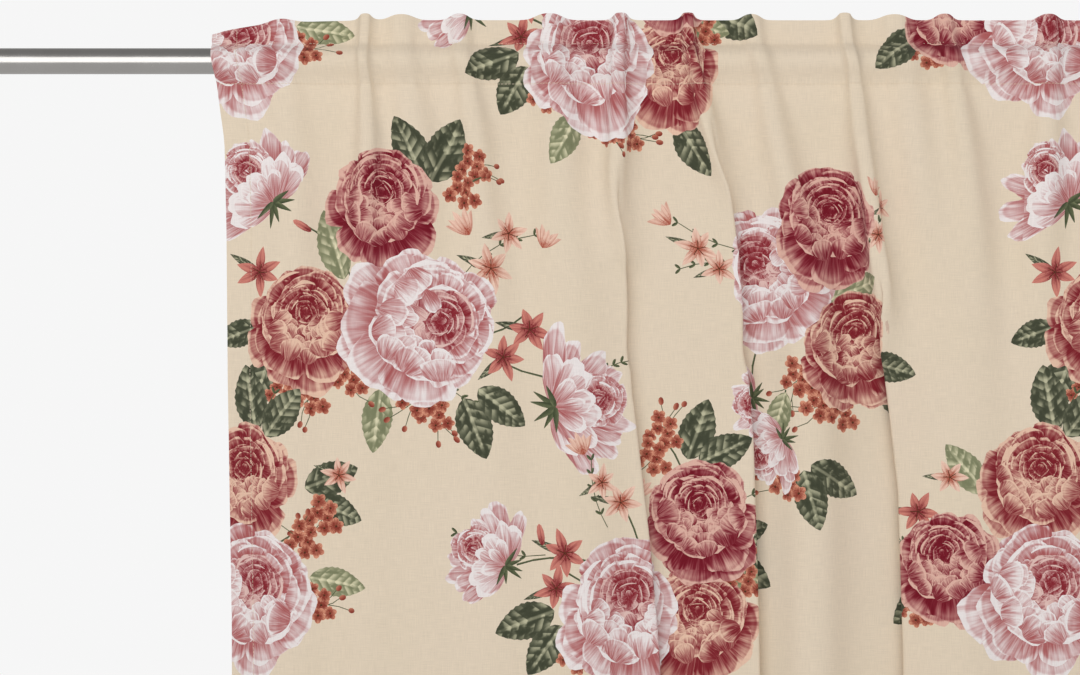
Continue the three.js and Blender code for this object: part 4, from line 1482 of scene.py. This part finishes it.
def extruded(outline, centre, axis, length):
    """A bmesh of a flat outline, given in the two directions after axis, run out along axis."""
    first = "xyz".index(axis)
    order = [first, (first + 1) % 3, (first + 2) % 3]
    shape = bmesh.new()
    ends = []
    for along in (-length / 2, length / 2):
        made = []
        for a, b in outline:
            point = np.zeros(3)
            point[order] = (along, a, b)
            made.append(shape.verts.new((point + centre) * MM))
        ends.append(made)
    shape.faces.new(ends[0])
    shape.faces.new(ends[1])
    count = len(outline)
    for i in range(count):
        j = (i + 1) % count
        shape.faces.new([ends[0][i], ends[0][j], ends[1][j], ends[1][i]])
    bmesh.ops.recalc_face_normals(shape, faces=shape.faces)
    return shape


def rod_shape(radius, start, end, centre, axis, count=ROUND, soft=0.3):
    outline = softened([(0, start), (radius, start), (radius, end), (0, end)], soft)
    return turned(outline, centre, axis, count)


def object_of(shape, name):
    mesh = bpy.data.meshes.new(name)
    shape.to_mesh(mesh)
    shape.free()
    piece = bpy.data.objects.new(name, mesh)
    bpy.context.scene.collection.objects.link(piece)
    return piece


def combined(base, changes):
    """base with other shapes joined to it or cut from it. changes lists (word, shape)."""
    body = object_of(base, "body")
    tools = []
    for word, shape in changes:
        tool = object_of(shape, "tool")
        step = body.modifiers.new("step", "BOOLEAN")
        step.operation = word
        step.solver = "EXACT"
        step.object = tool
        tools.append(tool)
    result = bmesh.new()
    result.from_object(body, bpy.context.evaluated_depsgraph_get())
    for made in (body, *tools):
        bpy.data.objects.remove(made)
    return result


def fit(shape, node, body, material, bevel=0.0):
    """Puts a finished shape in a CAD node's place."""
    bmesh.ops.remove_doubles(shape, verts=shape.verts, dist=0.00001)
    piece = object_of(shape, f"fine_{node}")
    if bevel:
        round_off = piece.modifiers.new("edges", "BEVEL")
        round_off.width = bevel * MM
        round_off.segments = 2
        round_off.limit_method = "ANGLE"
        round_off.angle_limit = math.radians(40)
        result = bmesh.new()
        result.from_object(piece, bpy.context.evaluated_depsgraph_get())
        piece.modifiers.clear()
        result.to_mesh(piece.data)
        result.free()
    mesh = piece.data
    mesh.polygons.foreach_set("use_smooth", np.ones(len(mesh.polygons), bool))
    mesh.set_sharp_from_angle(angle=SHARP)
    mesh.materials.append(material)
    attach(piece, body)
    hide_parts(node)
    return piece


def hexagon(width, centre, axis, length):
    outline = [(width / 2 * math.cos(a), width / 2 * math.sin(a)) for a in np.arange(6) * math.pi / 3]
    return extruded(outline, centre, axis, length)


def wall_plate(x):
    """A round plate with a hollow boss for the arm, two countersunk holes and one for the grub screw."""
    outline = [(0, -8), (6.3, -8), (6.3, -26), (10, -26), (10, -5), (28, -5), (28, 0), (0, 0)]
    outline = softened(outline, 0.7)
    cuts = []
    for z in (-WALL_SCREW_PLACE, WALL_SCREW_PLACE):
        sink = [(0, -7), (6.25, -7), (4.55, -5), (2.55, -2.7), (2.55, 1), (0, 1)]
        cuts.append(("DIFFERENCE", turned(sink, (x, 0, z), "y", 32)))
    cuts.append(("DIFFERENCE", rod_shape(2.8, -12, -2, (x, GRUB_SCREW_SIDE, 0), "z", 32)))
    return combined(turned(outline, (x, 0, 0), "y"), cuts)


def wall_screw(x, z):
    """A countersunk screw with a hexagonal recess and a threaded shank."""
    outline = [(0, -4.7), (4.0, -4.7), (4.25, -4.55), (2.3, -2.4)]
    for along in np.arange(-2.2, -0.5, 0.4):
        outline += [(2.25, along), (2.0, along + 0.2)]
    outline += [(2.0, -0.3), (0, -0.3)]
    recess = hexagon(3.4, (x, -4.7, z), "y", 3)
    return combined(turned(outline, (x, 0, z), "y", 36), [("DIFFERENCE", recess)])


def grub_screw(x):
    """A headless screw with a hexagonal recess below."""
    shape = rod_shape(2.5, -10, -6.3, (x, GRUB_SCREW_SIDE, 0), "z", 36)
    return combined(shape, [("DIFFERENCE", hexagon(2.4, (x, GRUB_SCREW_SIDE, -10), "z", 3))])


def plate_cover(x):
    """A shallow round cap with a rolled outer corner."""
    def corner(radius, start, end):
        return [(27 + radius * math.cos(a), -11 + radius * math.sin(a)) for a in np.linspace(start, end, 9)]

    outline = [(10.5, -15), *corner(4, -math.pi / 2, 0), (31, -0.6), (30.7, -0.3), (29.9, -0.3), (29.6, -0.6),
               *corner(2.6, 0, -math.pi / 2), (10.8, -13.6), (10.5, -13.9), (10.5, -15)]
    return turned(outline, (x, 0, 0), "y", 96)


def arc_of(radius, start, end, steps=32):
    return [(radius * math.cos(a), radius * math.sin(a)) for a in np.linspace(start, end, steps)]


def cradle(x, tube):
    """An open-topped hook around the rod, with a socket behind it and a foot for the thumb screw."""
    inner = tube + RUNNING_GAP
    outer = inner + CRADLE_WALL
    hook = [(outer, 14), (inner, 14), *arc_of(inner, 0, -math.pi), (-inner, 6), (-outer, 6),
            *arc_of(outer, -math.pi, 0)]
    axis = (x, ROD_SIDE, 0)
    body = extruded(hook, axis, "x", CRADLE_WIDTH)
    changes = [
        ("UNION", rod_shape(9, inner + 2, outer + 14, axis, "y", ROUND, 0.8)),
        ("UNION", rod_shape(6, -outer - CRADLE_FOOT, -inner - 2, axis, "z", ROUND, 0.6)),
        ("DIFFERENCE", rod_shape(ARM_RADIUS + 0.3, outer + 0.6, outer + 20, axis, "y", ROUND, 0)),
        ("DIFFERENCE", rod_shape(2.7, -2 * outer, -2, axis, "z", 32, 0)),
    ]
    return combined(body, changes)


def knob_top(tube):
    """The height of a thumb knob's top, under the rod's axis."""
    return -tube - RUNNING_GAP - CRADLE_WALL - CRADLE_FOOT - KNOB_CLEARANCE


def thumb_screw(x, tube):
    """A threaded shank with a chamfered end under the rod."""
    top = -tube - 0.3
    bottom = knob_top(tube) - KNOB_BORE + 0.3
    outline = [(0, bottom), (2.2, bottom)]
    for along in np.arange(bottom + 0.3, top - 1.6, 0.7):
        outline += [(2.4, along), (2.4, along + 0.12), (2.08, along + 0.35), (2.08, along + 0.47)]
    outline += [(2.3, top - 1.2), (1.4, top), (0, top)]
    return turned(outline, (x, ROD_SIDE, 0), "z", 36)


def thumb_knob(x, tube):
    """A knurled knob with a dished underside and a bore for the shank."""
    top = knob_top(tube)
    outline = []
    for angle in np.arange(128) * 2 * math.pi / 128:
        radius = 8.65 + 0.35 * math.cos(KNOB_TEETH * angle) ** 3
        outline.append((radius * math.cos(angle), radius * math.sin(angle)))
    axis = (x, ROD_SIDE, 0)
    grip = extruded(outline, (x, ROD_SIDE, top - KNOB_HEIGHT / 2), "z", KNOB_HEIGHT)
    trim = softened([(0, top + 0.01), (7.6, top + 0.01), (9.2, top - 1.4), (9.2, top - 6.6),
                     (7.6, top - 8.01), (4, top - 8.01), (0, top - 7.4)], 0.4)
    changes = [("INTERSECT", turned(trim, axis, "z", 96)),
               ("DIFFERENCE", rod_shape(2.7, top - KNOB_BORE, top + 6, axis, "z", 36, 0))]
    return combined(grip, changes)


def tube_shape(radius, start, end):
    bore = radius - TUBE_WALL
    soft = softened([(radius - 0.5, start), (radius, start), (radius, end), (bore, end), (bore, start),
                     (radius - 0.5, start)], 0.25)
    return turned(soft, (0, ROD_SIDE, 0), "x", 96)


def finial(side):
    """A plain cylindrical cap on a short neck, with two fine turned lines and a spigot."""
    end = ROD_END
    outline = [(0, end - 17.7), (3.4, end - 17.7), (3.7, end - 17.4), (3.7, end + 2.6), (9, end + 2.6),
               (9, end + 6.2), (9.3, end + 6.6), (16, end + 6.6), (17, end + 7.4)]
    for groove in (end + 11, end + 34):
        outline += [(17, groove), (16.6, groove + 0.4), (17, groove + 0.8)]
    outline += [(14 + 3 * math.cos(a), end + 37.6 + 3 * math.sin(a)) for a in np.linspace(0, math.pi / 2, 9)]
    outline += [(8, end + 40.75), (0, end + 40.8)]
    return turned([(radius, side * along) for radius, along in outline], (0, ROD_SIDE, 0), "x", 96)


def end_plug(side, tube):
    """A flanged plug in a tube's end, with a bore for the finial's spigot."""
    end = ROD_END
    body = tube - TUBE_WALL - 0.3
    outline = [(0, end - 24), (body, end - 24), (body, end + 0.3), (tube, end + 0.3), (tube, end + 2.3),
               (4, end + 2.3), (4, end - 18), (0, end - 18)]
    outline = softened(outline, 0.3)
    return turned([(radius, side * along) for radius, along in outline], (0, ROD_SIDE, 0), "x", 72)


def guide_bush():
    """A flanged sleeve in the thick tube's mouth, which the thin tube slides in."""
    mouth = OUTER_TUBE_MOUTH
    bore = INNER_RADIUS + 0.3
    sleeve = bore + 0.8
    middle = (bore + sleeve) / 2
    outline = softened([(middle, mouth - 25), (sleeve, mouth - 25), (sleeve, mouth + 0.3),
                        (ROD_RADIUS, mouth + 0.3), (ROD_RADIUS, mouth + 2.3), (bore, mouth + 2.3),
                        (bore, mouth - 25), (middle, mouth - 25)], 0.25)
    return turned(outline, (0, ROD_SIDE, 0), "x", 72)


def build_hardware():
    chrome = metal_material("satin_chrome", (209, 206, 202), 0.21, 0.05)
    steel = metal_material("zinc_steel", (186, 188, 192), 0.32, 0.12)
    plastic = plastic_material()
    for side, x, tube in BRACKETS:
        fit(wall_plate(x), f"{side}_wall_plate", "brackets", chrome)
        fit(wall_screw(x, WALL_SCREW_PLACE), f"{side}_upper_wall_screw", "brackets", steel)
        fit(wall_screw(x, -WALL_SCREW_PLACE), f"{side}_lower_wall_screw", "brackets", steel)
        fit(grub_screw(x), f"{side}_grub_screw", "brackets", steel)
        fit(plate_cover(x), f"{side}_plate_cover", f"{side}_cover", chrome)
        start, end = -8.3, ROD_SIDE + tube + RUNNING_GAP + CRADLE_WALL + 0.9
        arm = rod_shape(ARM_RADIUS, end, start, (x, 0, 0), "y", 72, 0.5)
        fit(arm, f"{side}_arm", "brackets", chrome)
        fit(cradle(x, tube), f"{side}_cradle", "brackets", chrome, 0.6)
        fit(thumb_screw(x, tube), f"{side}_thumb_screw", f"{side}_screw", steel)
        fit(thumb_knob(x, tube), f"{side}_thumb_knob", f"{side}_knob", chrome)
    fit(tube_shape(ROD_RADIUS, -ROD_END, OUTER_TUBE_MOUTH), "outer_tube", "rod", chrome)
    fit(tube_shape(INNER_RADIUS, INNER_TUBE_START, ROD_END), "inner_tube", "rod_inner", chrome)
    fit(guide_bush(), "guide_bush", "rod", plastic)
    fit(end_plug(-1, ROD_RADIUS), "left_end_plug", "rod", plastic)
    fit(end_plug(1, INNER_RADIUS), "right_end_plug", "rod_inner", plastic)
    fit(finial(-1), "left_finial", "left_cap", chrome)
    fit(finial(1), "right_finial", "right_cap", chrome)


build_hardware()


# ---------------------------------------------------------------- lights and camera

VIEW_MIDDLE = (-0.704, -0.300)
VIEW_WIDTH = 1.166
LENS = 80.0
SENSOR = 36.0


def area_light(name, place, target, size, energy, tint=(1, 1, 1)):
    lamp = bpy.data.lights.new(name, "AREA")
    lamp.shape = "RECTANGLE"
    lamp.size, lamp.size_y = size
    lamp.energy = energy
    lamp.color = tint
    holder = bpy.data.objects.new(name, lamp)
    holder.location = place
    holder.rotation_euler = (Vector(target) - Vector(place)).to_track_quat("-Z", "Y").to_euler()
    holder.visible_camera = False
    bpy.context.scene.collection.objects.link(holder)


def studio_world():
    """A white backdrop to the eye, and a dimmer room, darkest overhead, to every surface."""
    world = bpy.data.worlds.new("studio")
    world.use_nodes = True
    nodes, links = world.node_tree.nodes, world.node_tree.links
    room = nodes["Background"]
    height = nodes.new("ShaderNodeSeparateXYZ")
    fade = nodes.new("ShaderNodeMapRange")
    fade.inputs["From Min"].default_value = -0.2
    fade.inputs["From Max"].default_value = 0.9
    fade.inputs["To Min"].default_value = 0.50
    fade.inputs["To Max"].default_value = 0.25
    links.new(nodes.new("ShaderNodeTexCoord").outputs["Generated"], height.inputs[0])
    links.new(height.outputs[2], fade.inputs["Value"])
    links.new(fade.outputs[0], room.inputs["Strength"])
    room.inputs["Color"].default_value = (1, 1, 1, 1)
    paper = nodes.new("ShaderNodeBackground")
    paper.inputs["Color"].default_value = (0.923, 0.923, 0.923, 1)
    choice = nodes.new("ShaderNodeMixShader")
    links.new(nodes.new("ShaderNodeLightPath").outputs["Is Camera Ray"], choice.inputs[0])
    links.new(room.outputs[0], choice.inputs[1])
    links.new(paper.outputs[0], choice.inputs[2])
    links.new(choice.outputs[0], nodes["World Output"].inputs["Surface"])
    return world


def set_the_stage():
    scene = bpy.context.scene
    scene.view_settings.view_transform = "Standard"
    scene.world = studio_world()
    area_light("front", (-0.6, -3.4, 0.45), (-0.6, 0, -0.1), (6.5, 2.9), 84)
    area_light("side", (-3.6, -2.4, 1.3), (-0.4, 0, -0.8), (1.2, 2.2), 20)
    eye = bpy.data.cameras.new("camera")
    eye.lens = LENS
    eye.sensor_width = SENSOR
    eye.clip_end = 50
    camera = bpy.data.objects.new("camera", eye)
    distance = VIEW_WIDTH * LENS / SENSOR
    camera.location = (VIEW_MIDDLE[0], -0.11 - distance, VIEW_MIDDLE[1])
    camera.rotation_euler = (math.pi / 2, 0, 0)
    scene.collection.objects.link(camera)
    scene.camera = camera


set_the_stage()
